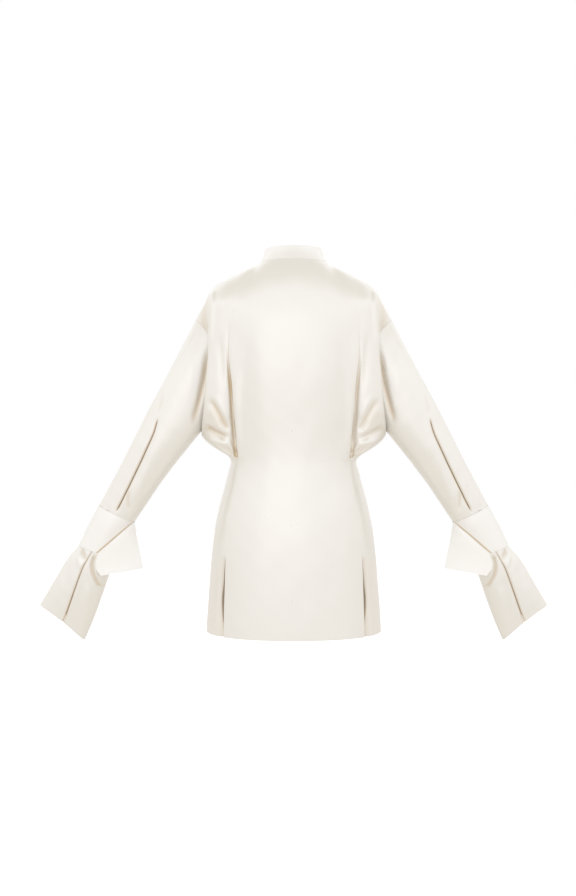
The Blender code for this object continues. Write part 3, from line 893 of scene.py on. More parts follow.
    def top_edge(self, neck_depth: float, neck_drop: float) -> np.ndarray:
        """Neckline, shoulder line and dropped shoulder, a point for each column.

        Args:
            neck_depth: how deep the neckline's centre lies.
            neck_drop: how far below the shoulders it lies.

        Returns:
            The points, from the centre out.
        """
        count = sum(self.column_steps)
        tip_x, tip_z = self.shoulder_tip
        end_x, end_z = self.armhole_top
        found = []
        for step in range(count * self.finer + 1):
            column = step / self.finer
            if column <= self.neck_column:
                angle = math.pi / 2 * column / self.neck_column
                drop = neck_drop * max(math.cos(angle), 0.0) ** self.neck_scoop
                found.append((self.neck_half_width * math.sin(angle),
                              neck_depth * math.cos(angle), -drop))
            elif column <= self.edge_column:
                share = (column - self.neck_column) / (self.edge_column - self.neck_column)
                found.append((blend(self.neck_half_width, tip_x, share), 0.0,
                              tip_z * share ** self.shoulder_bend))
            else:
                share = (column - self.edge_column) / (count - self.edge_column)
                found.append((blend(tip_x, end_x, share), 0.0, blend(tip_z, end_z, share)))
        return np.array(found)

    def half(self, front: bool) -> np.ndarray:
        """The +X half of the back or of the front, before its folds.

        Args:
            front: True for the front, False for the back.

        Returns:
            Rows of points, neck to hem, from the centre out.
        """
        depth = self.neck_front if front else self.neck_back
        top = self.top_edge(depth, self.neck_front_drop if front else 0.0)
        steps = [count * self.finer for count in self.column_steps]
        rows = []
        for row in BODY:
            lines = self._body_lines(row, row.front_y if front else row.back_y)
            rows.append(spline(lines, steps))
        rows += [self._skirt_lines(row, row.front_y if front else row.back_y) for row in SKIRT]
        step = rows[0] - top
        leave = step * np.array(self.shoulder_leave)
        arrive = step * np.array(self.shoulder_arrive)
        shoulder = [hermite(top, rows[0], leave, arrive, i / self.shoulder_rows)
                    for i in range(self.shoulder_rows)]
        grid = spline(np.array(shoulder + rows), self.row_steps)
        smooth = ClothGrid(grid)
        smooth.relax(self.even_passes)
        kept = 1.0 - smooth_rise(np.arange(len(grid)), 0.0, self.corner_rows)
        grid = smooth.points + kept[:, None, None] * (grid[0] - smooth.points[0])
        self._even_panel(grid)
        grid[:, :, 1] = np.maximum(grid[:, :, 1], 0.0) + SEAM_GAP / 2
        if front:
            grid[:, :, 1] *= -1.0
        return grid

    def _even_panel(self, grid: np.ndarray) -> None:
        """Evens the depth of the middle panel down its length; the sides go with its fold.

        Args:
            grid: the half's points, which are changed.
        """
        fold = self.fold_column * self.finer
        panel = 1.0 - smooth_rise(np.arange(grid.shape[1]), self.panel_middle * fold, fold)
        depth = grid[:, :, 1].copy()
        for _ in range(self.panel_passes):
            depth[1:-1] += 0.5 * ((depth[:-2] + depth[2:]) / 2 - depth[1:-1])
        top = blend(grid[:, :, 1], depth, panel[None, :])
        low = grid[:, :, 1].copy()
        for column in range(fold + 1):
            low[:, column] = evened_down(grid[:, column, 2], grid[:, column, 1],
                                         self.panel_reach)
        beside = np.arange(fold + 1, grid.shape[1])
        taken = 1.0 - smooth_rise(beside, fold, grid.shape[1] - 1)
        low[:, beside] += (low[:, fold] - grid[:, fold, 1])[:, None] * taken
        share = smooth_rise(-grid[:, 0, 2], *self.panel_levels)
        grid[:, :, 1] = blend(top, low, share[:, None])

    def _fold_painted_shade(self, columns: int, start: int) -> np.ndarray:
        """Painted shade in the gathered side's tuck, by how deep the tuck is at each point.

        Args:
            columns: how many columns the cloth has.
            start: the column on the centre line.

        Returns:
            The warmth of each point.
        """
        # Painted shade in the tuck, as strong as the tuck is deep there.
        places = row_places(self.row_steps) - self.shoulder_rows
        tucks = [row.tuck for row in BODY] + [0.0] * len(SKIRT)
        depth = self.fold_painted_shade * np.interp(places, range(len(tucks)), tucks) / max(tucks)
        beyond, width = self.fold_painted_shade_columns
        column = np.abs(np.arange(columns) - start) / self.finer - self.fold_column
        return depth[:, None] * np.exp(-((column - beyond) / width) ** 2)

    def back(self) -> ClothGrid:
        """The whole back, with its two hem vents.

        Returns:
            The cloth.
        """
        half = self.half(front=False)
        cloth = ClothGrid(np.concatenate([half[:, ::-1] * MIRROR, half[:, 1:]], axis=1))
        # Painted shade in the tucks on both sides.
        tuck_shade = self._fold_painted_shade(half.shape[1], 0)
        cloth.painted_shade += np.concatenate([tuck_shade[:, ::-1], tuck_shade[:, 1:]], axis=1)
        right = [crease.mirrored(self.twin_aside * (i % 3 - 1), self.twin_down * (i % 2),
                                 1.0 + self.twin_depth * (i % 3 - 1))
                 for i, crease in enumerate(BODY_CREASES)]
        cloth.press([*BODY_CREASES, *right])
        cloth.ripple(height=0.0005, length=0.11, seed=0.4)
        opening = shares_below(self.row_steps, self.vent_top_place)
        parted, curled = (opening ** 0.5 * (1.0 - less * smooth_rise(opening, start, 1.0))
                          for less, start in (self.vent_parting, self.vent_curling))
        centre = half.shape[1] - 1
        # The vents' curled edges get painted shade.
        for way in (1, -1):
            cloth.cut(centre + way * self.fold_column * self.finer, curled,
                      self.vent_shifts[::way], self.vent_curls[::way], self.vent_width,
                      self.vent_painted_shade, parted)
        return cloth

    def front(self, side: Side) -> ClothGrid:
        """One front, neck to hem, with the folds of the back's sides.

        Args:
            side: which front.

        Returns:
            The cloth.
        """
        grid = self.half(front=True)
        grid[:, 0, 0] = SEAM_GAP / 2
        cloth = ClothGrid(grid[:, ::-1])
        cloth.painted_shade += self._fold_painted_shade(grid.shape[1], grid.shape[1] - 1)
        folds = BODY_CREASES[1:2] + BODY_CREASES[3:]
        cloth.press([crease.mirrored(aside=self.front_aside).mirrored() for crease in folds],
                    self.front_strengths[0 if side is Side.LEFT else 1])
        cloth.ripple(height=0.0005, length=0.12, seed=1.1 + side.value)
        return cloth if side is Side.LEFT else cloth.mirrored()

    def build(self) -> None:
        """Makes the back and the two fronts."""
        back = self.back()
        back.turn(Edge.BOTTOM, gap=0.0010, reach=0.010)
        piece = back.make("back_cloth", self.satin, SATIN_THICKNESS, inside=self.wrong_side)
        declare(piece, ["back"])
        for side in Side:
            front = self.front(side)
            seam = Edge.START if side is Side.LEFT else Edge.END
            front.turn(seam, gap=0.0012, reach=0.004, under=True)
            front.turn(Edge.BOTTOM, gap=0.0010, reach=0.010)
            piece = front.make(f"front_{side.word}_cloth", self.satin, SATIN_THICKNESS,
                               inside=self.wrong_side)
            declare(piece, [f"front_{side.word}"])


@dataclass
class Collar:
    """The band collar, open at the centre front.

    Attributes:
        height: of the band.
        lean: how far its top stands in from its foot.
        bow: how hollow it is between them.
        rows: how many rows of points it has.
    """

    body: Body
    satin: bpy.types.Material
    height: float = 0.031
    lean: float = 0.0112
    bow: float = 0.0009
    rows: int = 11

    def ring(self) -> np.ndarray:
        """The neckline from the centre front round the back to the centre front.

        Returns:
            The points.
        """
        columns = self.body.neck_column * self.body.finer + 1
        back = self.body.top_edge(self.body.neck_back, 0.0)[:columns]
        front = self.body.top_edge(self.body.neck_front, self.body.neck_front_drop)[:columns]
        front = front * np.array([1.0, -1.0, 1.0])
        left = np.concatenate([front, back[::-1][1:]])
        left[0, 0] = SEAM_GAP
        return np.concatenate([left, (left[:-1] * MIRROR)[::-1]])

    def build(self) -> None:
        """Makes the collar, its foot inside the neckline."""
        ring = self.ring()
        inward = unit(ring * np.array([1.0, 1.0, 0.0]))
        rows = []
        for share in np.linspace(1.0, 0.0, self.rows):
            row = ring - inward * self.lean * share
            row[:, 2] += self.height * share + 2 * SEAM_GAP
            row -= inward * self.bow * math.sin(math.pi * share)
            row[[0, -1], 0] = ring[[0, -1], 0]
            rows.append(row)
        cloth = ClothGrid(np.array(rows)[:, ::-1])
        cloth.ripple(height=0.0003, length=0.09, seed=0.9)
        cloth.turn(Edge.BOTTOM, gap=0.0012, reach=0.005, under=True)
        piece = cloth.make("collar_cloth", self.satin, STIFF_THICKNESS)
        declare(piece, ["collar"])


class Ring(NamedTuple):
    """A level of an arm: its outer and inner edge seen from behind, and half its depth."""

    outer_x: float
    outer_z: float
    inner_x: float
    inner_z: float
    half_depth: float

    def points(self, angles: np.ndarray) -> np.ndarray:
        """Points round the ring; angle 0 is its outer edge, 180 degrees its inner one.

        Args:
            angles: in radians.

        Returns:
            A point for each angle.
        """
        outer = np.array([self.outer_x, 0.0, self.outer_z])
        inner = np.array([self.inner_x, 0.0, self.inner_z])
        angles = np.asarray(angles)[:, None]
        depth = np.array([0.0, self.half_depth, 0.0])
        away = np.sign(np.sin(angles)) * np.abs(np.sin(angles)) ** ARM_FLATNESS
        return (outer + inner) / 2 + (outer - inner) / 2 * np.cos(angles) + depth * away

    def inset(self, by: float) -> "Ring":
        """The ring of the same place, smaller all round.

        Args:
            by: how far its edge moves in.

        Returns:
            The new ring.
        """
        outer = np.array([self.outer_x, self.outer_z])
        inner = np.array([self.inner_x, self.inner_z])
        step = unit(inner - outer) * by
        return Ring(*(outer + step), *(inner - step), self.half_depth - by)


SLEEVE = (
    Ring(0.3335, -0.3382, 0.2210, -0.3960, 0.049),
    Ring(0.3490, -0.3695, 0.2435, -0.4235, 0.048),
    Ring(0.3649, -0.4002, 0.2660, -0.4510, 0.047),
    Ring(0.3800, -0.4306, 0.2870, -0.4787, 0.045),
    Ring(0.3952, -0.4609, 0.3075, -0.5060, 0.043),
    Ring(0.4105, -0.4900, 0.3262, -0.5338, 0.041),
    Ring(0.4259, -0.5192, 0.3443, -0.5612, 0.039),
    Ring(0.4440, -0.5520, 0.3650, -0.5920, 0.037),
)
BAND = (
    Ring(0.4443, -0.5522, 0.3648, -0.5924, 0.0374),
    Ring(0.4566, -0.5745, 0.3741, -0.6130, 0.0388),
    Ring(0.4685, -0.5970, 0.3838, -0.6335, 0.0390),
    Ring(0.4800, -0.6195, 0.3936, -0.6540, 0.0390),
    Ring(0.4915, -0.6417, 0.4035, -0.6745, 0.0390),
)
CUFF = (
    Ring(0.5150, -0.6716, 0.4230, -0.7127, 0.0380),
    Ring(0.5370, -0.7060, 0.4400, -0.7620, 0.0370),
    Ring(0.5590, -0.7440, 0.4580, -0.8120, 0.0320),
    Ring(0.5810, -0.7813, 0.4790, -0.8618, 0.0250),
)

# The left arm's folds, seen from behind; steep folds, and those given extra shade, paint shade
# into the cloth.
SLEEVE_CREASES = (
    Crease(((0.300, -0.292), (0.306, -0.318), (0.313, -0.345)), 0.0022, 0.0030, (0.6, 0.2)),
    Crease(((0.300, -0.370), (0.318, -0.420), (0.342, -0.482), (0.372, -0.560)),
           -0.0012, 0.0100, (0.35, 0.15), 0.7),
    Crease(((0.292, -0.340), (0.320, -0.400), (0.352, -0.465), (0.384, -0.535)),
           0.0008, 0.0090, (0.35, 0.25)),
    Crease(((0.268, -0.400), (0.300, -0.450), (0.330, -0.500), (0.355, -0.545)),
           0.0010, 0.0080, (0.4, 0.2)),
    Crease(((0.3775, -0.5190), (0.3810, -0.5400), (0.3775, -0.5660)), 0.0034, 0.0036,
           (0.4, 0.2), 1.0, 0.08),
    Crease(((0.431, -0.548), (0.428, -0.560), (0.425, -0.572)), 0.0016, 0.0045, (0.4, 0.2)),
    Crease(((0.1948, -0.190), (0.2010, -0.250), (0.2145, -0.312), (0.2330, -0.376)),
           0.0056, 0.0046, (0.25, 0.20), 1.7, 0.26),
    Crease(((0.236, -0.190), (0.236, -0.262), (0.246, -0.330)),
           -0.0020, 0.0120, (0.4, 0.4)),
)
# The left cuff's folds, seen from behind; steep folds, and those given extra shade, paint shade
# into the cloth.
CUFF_CREASES = (
    Crease(((0.4559, -0.6682), (0.4621, -0.6877), (0.4621, -0.7061), (0.4552, -0.7245),
            (0.4432, -0.7383), (0.4330, -0.7370)), 0.0052, 0.0030, (0.10, 0.15), 1.4),
    Crease(((0.4490, -0.6808), (0.4536, -0.7038), (0.4478, -0.7200), (0.4363, -0.7245)),
           -0.0050, 0.0028, (0.25, 0.25)),
    Crease(((0.4432, -0.6854), (0.4455, -0.7038), (0.4386, -0.7153)),
           0.0042, 0.0022, (0.25, 0.25)),
    Crease(((0.4885, -0.6520), (0.4830, -0.6680), (0.4770, -0.6866)), 0.0040, 0.0032,
           (0.2, 0.5), 1.0, 0.1),
    Crease(((0.4960, -0.6640), (0.4930, -0.6830), (0.4870, -0.7050)), -0.0022, 0.0040,
           (0.3, 0.5)),
    Crease(((0.4835, -0.7038), (0.4915, -0.7728), (0.4938, -0.8418)),
           0.0016, 0.0070, (0.35, 0.30), 0.6),
    Crease(((0.4700, -0.7300), (0.4740, -0.7800), (0.4800, -0.8400)),
           -0.0020, 0.0080, (0.35, 0.30)),
    Crease(((0.512, -0.680), (0.522, -0.715), (0.533, -0.750)), 0.0014, 0.0080, (0.4, 0.4)),
)


@dataclass
class Arm:
    """Sleeve, lower cuff, wrapped band and wing of one arm.

    Attributes:
        fan_shares: where the rows between armhole and first ring lie.
        fan_fullness, fan_seam_depth: how far they bulge at the top, and the depth from
            which they do so in full.
        half_columns, finer: columns round half of the sleeve, and fine columns in each.
        slit_column, slit_top_ring: where the sleeve's slit lies and starts.
        slit_angles, slit_bend: its angle at both ends, in degrees, and how it turns.
        slit_shifts, slit_curls, slit_roll_width: how its edges part and roll in.
        slit_ends: the shares of its length by which it is open, closes and is closed.
        ring_rows: fine rows between two rings.
        seam_painted_shade_rows, seam_painted_shade, seam_painted_shade_levels: the painted
        shade along the armhole, from its first row to its last, and how far down it comes in.
        cuff_half_columns to cuff_slit_bend: the same for the lower cuff.
        cuff_hem_rise: how far the hem rises before and behind.
        hidden_rows, cuff_rows: the fine rows between two rings of the lower cuff, under
            the band and below it.
        front_strength: how deep the folds before are beside those behind.
        band_inset: how far the cuff lies inside the band.
        band_edge: the angle of the band's end at its top and at its foot, in degrees.
        wing_tip: the wing's free corner.
        wing_shoulder, wing_foot: where its root runs on below the band.
        wing_lower_rows: the rows along that part of the root.
    """

    side: Side
    body: Body
    satin: bpy.types.Material
    stiffened: bpy.types.Material
    facing: bpy.types.Material
    fan_shares: tuple[float, ...] = (0.22, 0.45, 0.66, 0.84)
    fan_fullness: float = 0.010
    fan_seam_depth: float = 0.02
    half_columns: int = 12
    finer: int = 6
    slit_column: int = 5
    slit_top_ring: int = 5
    slit_angles: Pair = (59.7, 92.6)
    slit_bend: float = 0.6
    slit_shifts: Pair = (0.00045, 0.00045)
    slit_curls: Pair = (0.0024, 0.0034)
    slit_roll_width: float = 0.006
    slit_ends: Triple = (0.06, 0.93, 0.985)
    ring_rows: int = 10
    seam_painted_shade_rows: int = 6
    seam_painted_shade: Pair = (0.5, 0.1)
    seam_painted_shade_levels: Pair = (0.20, 0.30)
    cuff_half_columns: int = 9
    cuff_finer: int = 13
    cuff_slit_column: int = 4
    cuff_slit_ring: int = 4
    cuff_hem_rise: float = 0.007
    cuff_slit_angles: Pair = (80.0, 95.0)
    cuff_slit_shifts: Pair = (0.0005, 0.0005)
    cuff_slit_curls: Pair = (0.0026, 0.0036)
    cuff_slit_bend: float = 0.25
    hidden_rows: int = 6
    cuff_rows: int = 24
    front_strength: float = 0.9
    band_inset: float = 0.0027
    band_edge: Pair = (172.0, 97.0)
    band_rows: int = 32
    band_columns: int = 140
    band_edge_columns: int = 3
    wing_lower_rows: tuple[int, int] = (8, 6)
    wing_columns: int = 31
    wing_tip: Triple = (0.3415, 0.018, -0.6970)
    wing_shoulder: Triple = (0.4460, 0.0400, -0.6930)
    wing_foot: Triple = (0.4350, 0.0415, -0.7105)

    @staticmethod
    def _angles(half: int, slit: int, slit_angle: float, fine: int) -> np.ndarray:
        """Angles round a ring that has a column on its slit.

        Args:
            half: how many columns half of the ring has.
            slit: the column on the slit.
            slit_angle: where the slit lies, in radians.
            fine: fine columns in each column.

        Returns:
            The angles, from 0 to a full turn.
        """
        behind = np.linspace(0.0, slit_angle, slit * fine + 1)
        beyond = np.linspace(slit_angle, math.pi, (half - slit) * fine + 1)[1:]
        ahead = np.linspace(math.pi, math.tau, half * fine + 1)[1:]
        return np.concatenate([behind, beyond, ahead])

    def _folded(self, grid: np.ndarray, passes: int, depth: float, behind: Sequence[Crease],
                before: Sequence[Crease]) -> ClothGrid:
        """A tube of cloth, evened, with its folds pressed in behind and before.

        Args:
            grid: its points.
            passes: how often its curvature is evened.
            depth: how far behind or before the arm's middle the folds are full.
            behind: the folds that the wearer's back shows.
            before: the folds of the other side, a little softer.

        Returns:
            The cloth, its columns turned round.
        """
        smooth = ClothGrid(grid)
        smooth.relax(passes)
        cloth = ClothGrid(smooth.points[:, ::-1])
        shares = [smooth_rise(way * cloth.points[..., 1], 0.0, depth) for way in (1, -1)]
        cloth.press(behind, 1.0, shares[0])
        cloth.press(before, self.front_strength, shares[1])
        return cloth

    def sleeve(self) -> ClothGrid:
        """The left sleeve, from the armhole seam to the band.

        Returns:
            The cloth.
        """
        half = self.half_columns
        fine = self.finer
        places = row_places(self.body.row_steps)
        wanted = np.linspace(0, half, half * fine + 1)
        seams = []
        for front in (False, True):
            column = self.body.half(front)[:, -1]
            seams.append(np.stack([np.interp(wanted, places, column[:, i]) for i in range(3)], 1))
        seam = np.concatenate([seams[0], seams[1][::-1][1:]])
        seam[[0, half * fine, -1], 1] = 0.0
        rings = []
        count = len(SLEEVE) + len(self.fan_shares) - self.slit_top_ring
        low, high = (math.radians(angle) for angle in self.slit_angles)
        for i, ring in enumerate(SLEEVE):
            share = (i + len(self.fan_shares) + 1 - self.slit_top_ring) / count
            slit_angle = blend(low, high, max(share, 0.0) ** self.slit_bend)
            rings.append(ring.points(self._angles(half, self.slit_column, slit_angle, fine)))
        first = rings[0]
        seam += unit(first - seam) * SEAM_GAP / 2
        down = (seam[0, 2] - seam[:, 2]) / (seam[0, 2] - seam[half * fine, 2])
        fan = [seam]
        for share in self.fan_shares:
            row = blend(seam, first, share)
            fullness = self.fan_fullness * math.sin(math.pi * share) * (1.0 - down)
            row[:, 1] += np.clip(row[:, 1] / self.fan_seam_depth, -1.0, 1.0) * fullness
            fan.append(row)
        steps = [self.ring_rows] * (len(fan) + len(rings) - 1)
        cloth = self._folded(
            spline(np.array(fan + rings), steps), passes=10, depth=0.012,
            behind=SLEEVE_CREASES, before=SLEEVE_CREASES[1:4] + SLEEVE_CREASES[6:])
        cloth.ripple(height=0.0006, length=0.10, seed=2.0 + self.side.value)
        # Painted shade along the armhole seam, strongest at its first row.
        rows = self.seam_painted_shade_rows
        extra_painted_shade = np.linspace(*self.seam_painted_shade, rows)[:, None]
        cloth.painted_shade[:rows] += extra_painted_shade * smooth_rise(-cloth.points[:rows, :, 2],
                                                  *self.seam_painted_shade_levels)
        share = shares_below(steps, self.slit_top_ring)
        opened, closing, closed = self.slit_ends
        opening = smooth_rise(share, 0.0, opened) * (1.0 - smooth_rise(share, closing, closed))
        # The slit's curled edges get full painted shade.
        cloth.cut((2 * half - self.slit_column) * fine, opening, self.slit_shifts,
                  self.slit_curls, self.slit_roll_width, 1.0)
        return cloth

    def cuff(self) -> ClothGrid:
        """The left lower cuff, with its slit open to the hem.

        Returns:
            The cloth.
        """
        rings = [ring.inset(self.band_inset) for ring in BAND] + list(CUFF)
        half = self.cuff_half_columns
        low, high = (math.radians(angle) for angle in self.cuff_slit_angles)
        shares = np.clip((np.arange(len(rings)) - self.cuff_slit_ring) / len(CUFF), 0.0, 1.0)
        steps = [self.hidden_rows] * (len(BAND) - 1) + [self.cuff_rows] * len(CUFF)
        rows = []
        for ring, share in zip(rings, shares):
            angles = self._angles(half, self.cuff_slit_column, blend(low, high, share),
                                  self.cuff_finer)
            rows.append(ring.points(angles))
        upwards = unit(rows[-2].mean(axis=0) - rows[-1].mean(axis=0))
        rows[-1] += upwards * (np.sin(angles) ** 2 * self.cuff_hem_rise)[:, None]
        cloth = self._folded(spline(np.array(rows), steps), passes=6, depth=0.010,
                             behind=CUFF_CREASES, before=CUFF_CREASES[5:])
        cloth.ripple(height=0.0005, length=0.08, seed=3.0 + self.side.value)
        opening = shares_below(steps, self.cuff_slit_ring) ** self.cuff_slit_bend
        # The cuff slit's curled edges get full painted shade.
        cloth.cut((2 * half - self.cuff_slit_column) * self.cuff_finer, opening,
                  self.cuff_slit_shifts, self.cuff_slit_curls, self.slit_roll_width, 1.0)
        return cloth

    def _band_points(self, columns: int) -> np.ndarray:
        """Points of the wrapped band, whose end runs aslant across the wrist.

        Args:
            columns: how many points each row has.

        Returns:
            Rows of points, top to bottom.
        """
        spans = len(BAND) - 1
        rings = spline(np.array(BAND), [self.band_rows // spans] * spans)
        top, end = (math.radians(angle) for angle in self.band_edge)
        found = []
        for i, values in enumerate(rings):
            edge = math.acos(blend(math.cos(top), math.cos(end), i / (len(rings) - 1)))
            angles = np.linspace(-top, edge, columns)
            found.append(Ring(*values).points(angles))
        return np.array(found)

    def band(self) -> ClothGrid:
        """The left band.

        Returns:
            The cloth.
        """
        cloth = ClothGrid(self._band_points(self.band_columns)[:, ::-1])
        cloth.ripple(height=0.0003, length=0.08, seed=4.0 + self.side.value)
        # Full painted shade along the band's slanting end.
        cloth.painted_shade[:, :self.band_edge_columns] = 1.0
        return cloth

    def wing(self) -> ClothGrid:
        """The left wing: a stiff sheet from the band's slanting edge to its free tip.

        Returns:
            The cloth.
        """
        roots = self._band_points(3)[:, -1]
        corner = roots[0]
        lower = np.array([roots[-1], self.wing_shoulder, self.wing_foot])
        roots = np.concatenate([roots[:-1], spline(lower, self.wing_lower_rows)])
        tip = np.array(self.wing_tip)
        t = np.linspace(0.0, 1.0, self.wing_columns)[:, None]
        rows = []
        for i, root in enumerate(roots):
            free = blend(corner + np.array([-2 * SEAM_GAP, 0.0, 0.0]), tip, i / (len(roots) - 1))
            root = root + unit(free - root) * 2 * SEAM_GAP
            middle = (root + free) / 2
            middle[1] = root[1]
            rows.append(blend(blend(root, middle, t), blend(middle, free, t), t))
        cloth = ClothGrid(np.array(rows)[:, ::-1])
        cloth.ripple(height=0.0003, length=0.07, seed=5.0 + self.side.value)
        return cloth

    def build(self) -> None:
        """Makes the arm's four pieces."""
        word = self.side.word
        sleeve = self.sleeve()
        sleeve.turn(Edge.BOTTOM, gap=0.0007, reach=0.003, under=True)
        sleeve.turn(Edge.TOP, gap=0.0012, reach=0.003, under=True)
        cuff = self.cuff()
        cuff.turn(Edge.BOTTOM, gap=0.0010, reach=0.004)
        band, wing = self.band(), self.wing()
        pieces = (
            ("sleeve", sleeve, self.satin, "satin", SATIN_THICKNESS, (0.34, 0.60), 0.165,
             Held.HUNG, ["back_cloth"]),
            ("cuff", cuff, self.satin, "satin", SATIN_THICKNESS, (0.30, 0.24), 0.062,
             Held.HUNG, [f"sleeve_{word}_cloth"]),
            ("cuff_band", band, self.stiffened, "satin", STIFF_THICKNESS, (0.26, 0.11), 0.024,
             Held.FOLDED, [f"sleeve_{word}_cloth"]),
            ("cuff_wing", wing, self.facing, "facing", STIFF_THICKNESS, (0.13, 0.12), 0.0078,
             Held.FOLDED, [f"cuff_band_{word}_cloth"]),
        )
        for name, cloth, material, slot, thickness, flat, area, held, rests_on in pieces:
            if self.side is Side.RIGHT:
                cloth = cloth.mirrored()
            inside = self.body.wrong_side if material is self.satin else None
            piece = cloth.make(f"{name}_{word}_cloth", material, thickness, inside=inside)
            declare(piece, [f"{name}_{word}"])


@dataclass
class Placket:
    """The strip that closes the centre front, with buttons, holes and stitches.

    Attributes:
        drop: the share of the first row's height that the strip starts below the neckline.
        hole_radius, hole_reach: the button's four holes, and how far out they lie.
        button_gap: the gap between strip and button.
        rim_angle: the angle from which an edge of the button stays crisp.
        face_share: where the button's face lies in its thickness.
        thread_lift, thread_share, thread_gap: how the thread lies over the face: how
            high, how long beside hole_reach, and how far its two strands stand apart.
        hole_sink, hole_beyond: how far the buttonhole's stitches lie below the button's
            foot, and how far the hole runs beyond its rim.
        hole_stitch: where each stitch starts and ends beside the hole, and its radius.
        hole_stitches: how many spaces its stitches leave along each side.
        tack_stitches, tack_pitch, tack_reach: the bars across its ends.
    """

    body: Body
    satin: bpy.types.Material
    pearl: bpy.types.Material
    thread: bpy.types.Material
    drop: float = 0.35
    columns: int = 9
    button_radius: float = 0.0055
    button_thickness: float = 0.0024
    button_count: int = 9
    button_top_z: float = -0.090
    button_spacing: float = 0.085
    hole_radius: float = 0.00065
    hole_reach: float = 0.00125
    stitch_length: float = 0.0024
    stitch_pitch: float = 0.0032
    stitch_radius: float = 0.00022
    stitch_inset: float = 0.0018
    stitch_start: float = 0.002
    button_gap: float = 0.0001
    rim_angle: float = math.radians(40)
    face_share: float = 0.70
    thread_lift: float = 0.00012
    thread_share: float = 0.72
    thread_gap: float = 0.00016
    thread_radius: float = 0.00017
    hole_sink: float = 0.00002
    hole_beyond: float = 0.0022
    hole_stitch: Triple = (0.00030, 0.00140, 0.00016)
    hole_stitches: int = 30
    tack_stitches: int = 4
    tack_pitch: float = 0.00022
    tack_reach: float = 0.0013

    def grid(self) -> np.ndarray:
        """The strip's inner side: the fronts' middle points moved out.

        Returns:
            Rows of points, top to bottom.
        """
        half = self.body.half(front=True)
        centre = half[:, 0].copy()
        centre[:, 0] = 0.0
        beside = half[:, 0] + (half[:, 1] - half[:, 0]) * (
            self.body.placket_half_width / half[:, 1:2, 0])
        top = round(self.drop * self.body.row_steps[0])
        centre, beside = centre[top:], beside[top:]
        beside[:, 0] = self.body.placket_half_width
        rows = []
        for share in np.linspace(-1.0, 1.0, self.columns):
            row = blend(centre, beside, share * share)
            row[:, 0] = self.body.placket_half_width * share
            rows.append(row)
        grid = np.stack(rows, axis=1)
        return grid - ClothGrid(grid).normals() * LAYER_GAP

    def _surface(self, z: float) -> Pair:
        """y of the placket's outer side at a height, and how far it leans there.

        Args:
            z: the height.

        Returns:
            y, and the lean in radians.
        """
        _, depths, heights = self.grid()[::-1, self.columns // 2].T
        reach = self.button_radius
        y, above, below = np.interp([z, z + reach, z - reach], heights, depths)
        lean = math.atan2(above - below, 2 * reach)
        return y - PLACKET_THICKNESS / math.cos(lean) - self.button_gap, lean

    def _button_mesh(self) -> bpy.types.Mesh:
        """A round button with a raised rim and four holes, facing -Y at the origin.

        Returns:
            The mesh that every button is a copy of.
        """
        r, h = self.button_radius, self.button_thickness
        profile = (
            (0.0, 0.0), (0.86 * r, 0.0), (0.95 * r, 0.10 * h), (r, 0.35 * h), (r, 0.65 * h),
            (0.96 * r, 0.88 * h), (0.90 * r, 0.98 * h), (0.83 * r, 0.98 * h),
            (0.75 * r, 0.88 * h), (0.66 * r, 0.74 * h), (0.55 * r, 0.70 * h), (0.0, 0.70 * h),
        )
        build = bmesh.new()
        points = [build.verts.new((x, -y, 0.0)) for x, y in profile]
        edges = [build.edges.new(pair) for pair in zip(points, points[1:])]
        bmesh.ops.spin(build, geom=points + edges, cent=(0, 0, 0), axis=(0, 1, 0),
                       angle=math.tau, steps=36, use_merge=True)
        bmesh.ops.remove_doubles(build, verts=build.verts, dist=1e-6)
        bmesh.ops.recalc_face_normals(build, faces=build.faces)
        solid = placed("button_blank", mesh_of("button_blank", build))
        build = bmesh.new()
        for corner in range(4):
            angle = math.pi / 4 + corner * math.pi / 2
            drill = bmesh.ops.create_cone(build, cap_ends=True, segments=14,
                                          radius1=self.hole_radius, radius2=self.hole_radius,
                                          depth=4 * h)
            bmesh.ops.rotate(build, verts=drill["verts"], cent=(0, 0, 0),
                             matrix=Matrix(((1, 0, 0), (0, 0, -1), (0, 1, 0))))
            bmesh.ops.translate(build, verts=drill["verts"], vec=(
                self.hole_reach * math.cos(angle), 0.0, self.hole_reach * math.sin(angle)))
        drills = placed("button_drills", mesh_of("button_drills", build))
        cut = solid.modifiers.new("holes", "BOOLEAN")
        cut.object = drills
        cut.operation = "DIFFERENCE"
        graph = bpy.context.evaluated_depsgraph_get()
        mesh = bpy.data.meshes.new_from_object(solid.evaluated_get(graph))
        for spare in (solid, drills):
            bpy.data.objects.remove(spare, do_unlink=True)
        return mesh

    @staticmethod
    def _bar(build: bmesh.types.BMesh, start: np.ndarray, end: np.ndarray, radius: float,
             sides: int = 6) -> None:
        """Adds a short straight thread from start to end.

        Args:
            build: the bmesh that it goes in.
            start: one end.
            end: the other end.
            radius: half of its thickness.
            sides: how many sides it has.
        """
        start, end = np.asarray(start, float), np.asarray(end, float)
        along = unit(end - start)
        aside = unit(np.cross(along, np.array([0.31, 0.17, 0.94])))
        other = np.cross(along, aside)
        bar = bmesh.ops.create_cone(build, cap_ends=True, segments=sides, radius1=radius,
                                    radius2=radius, depth=float(np.linalg.norm(end - start)))
        turn = [[aside[i], other[i], along[i]] for i in range(3)]
        bmesh.ops.rotate(build, verts=bar["verts"], cent=(0, 0, 0), matrix=Matrix(turn))
        bmesh.ops.translate(build, verts=bar["verts"], vec=tuple((start + end) / 2))

    def _sewn(self, name: str, build: bmesh.types.BMesh) -> None:
        """Makes one piece of the threads in a bmesh.

        Args:
            name: the piece's name.
            build: the threads.
        """
        piece = placed(name, mesh_of(name, build))
        piece.data.materials.append(self.thread)
        piece.data.shade_smooth()
        declare(piece, [])

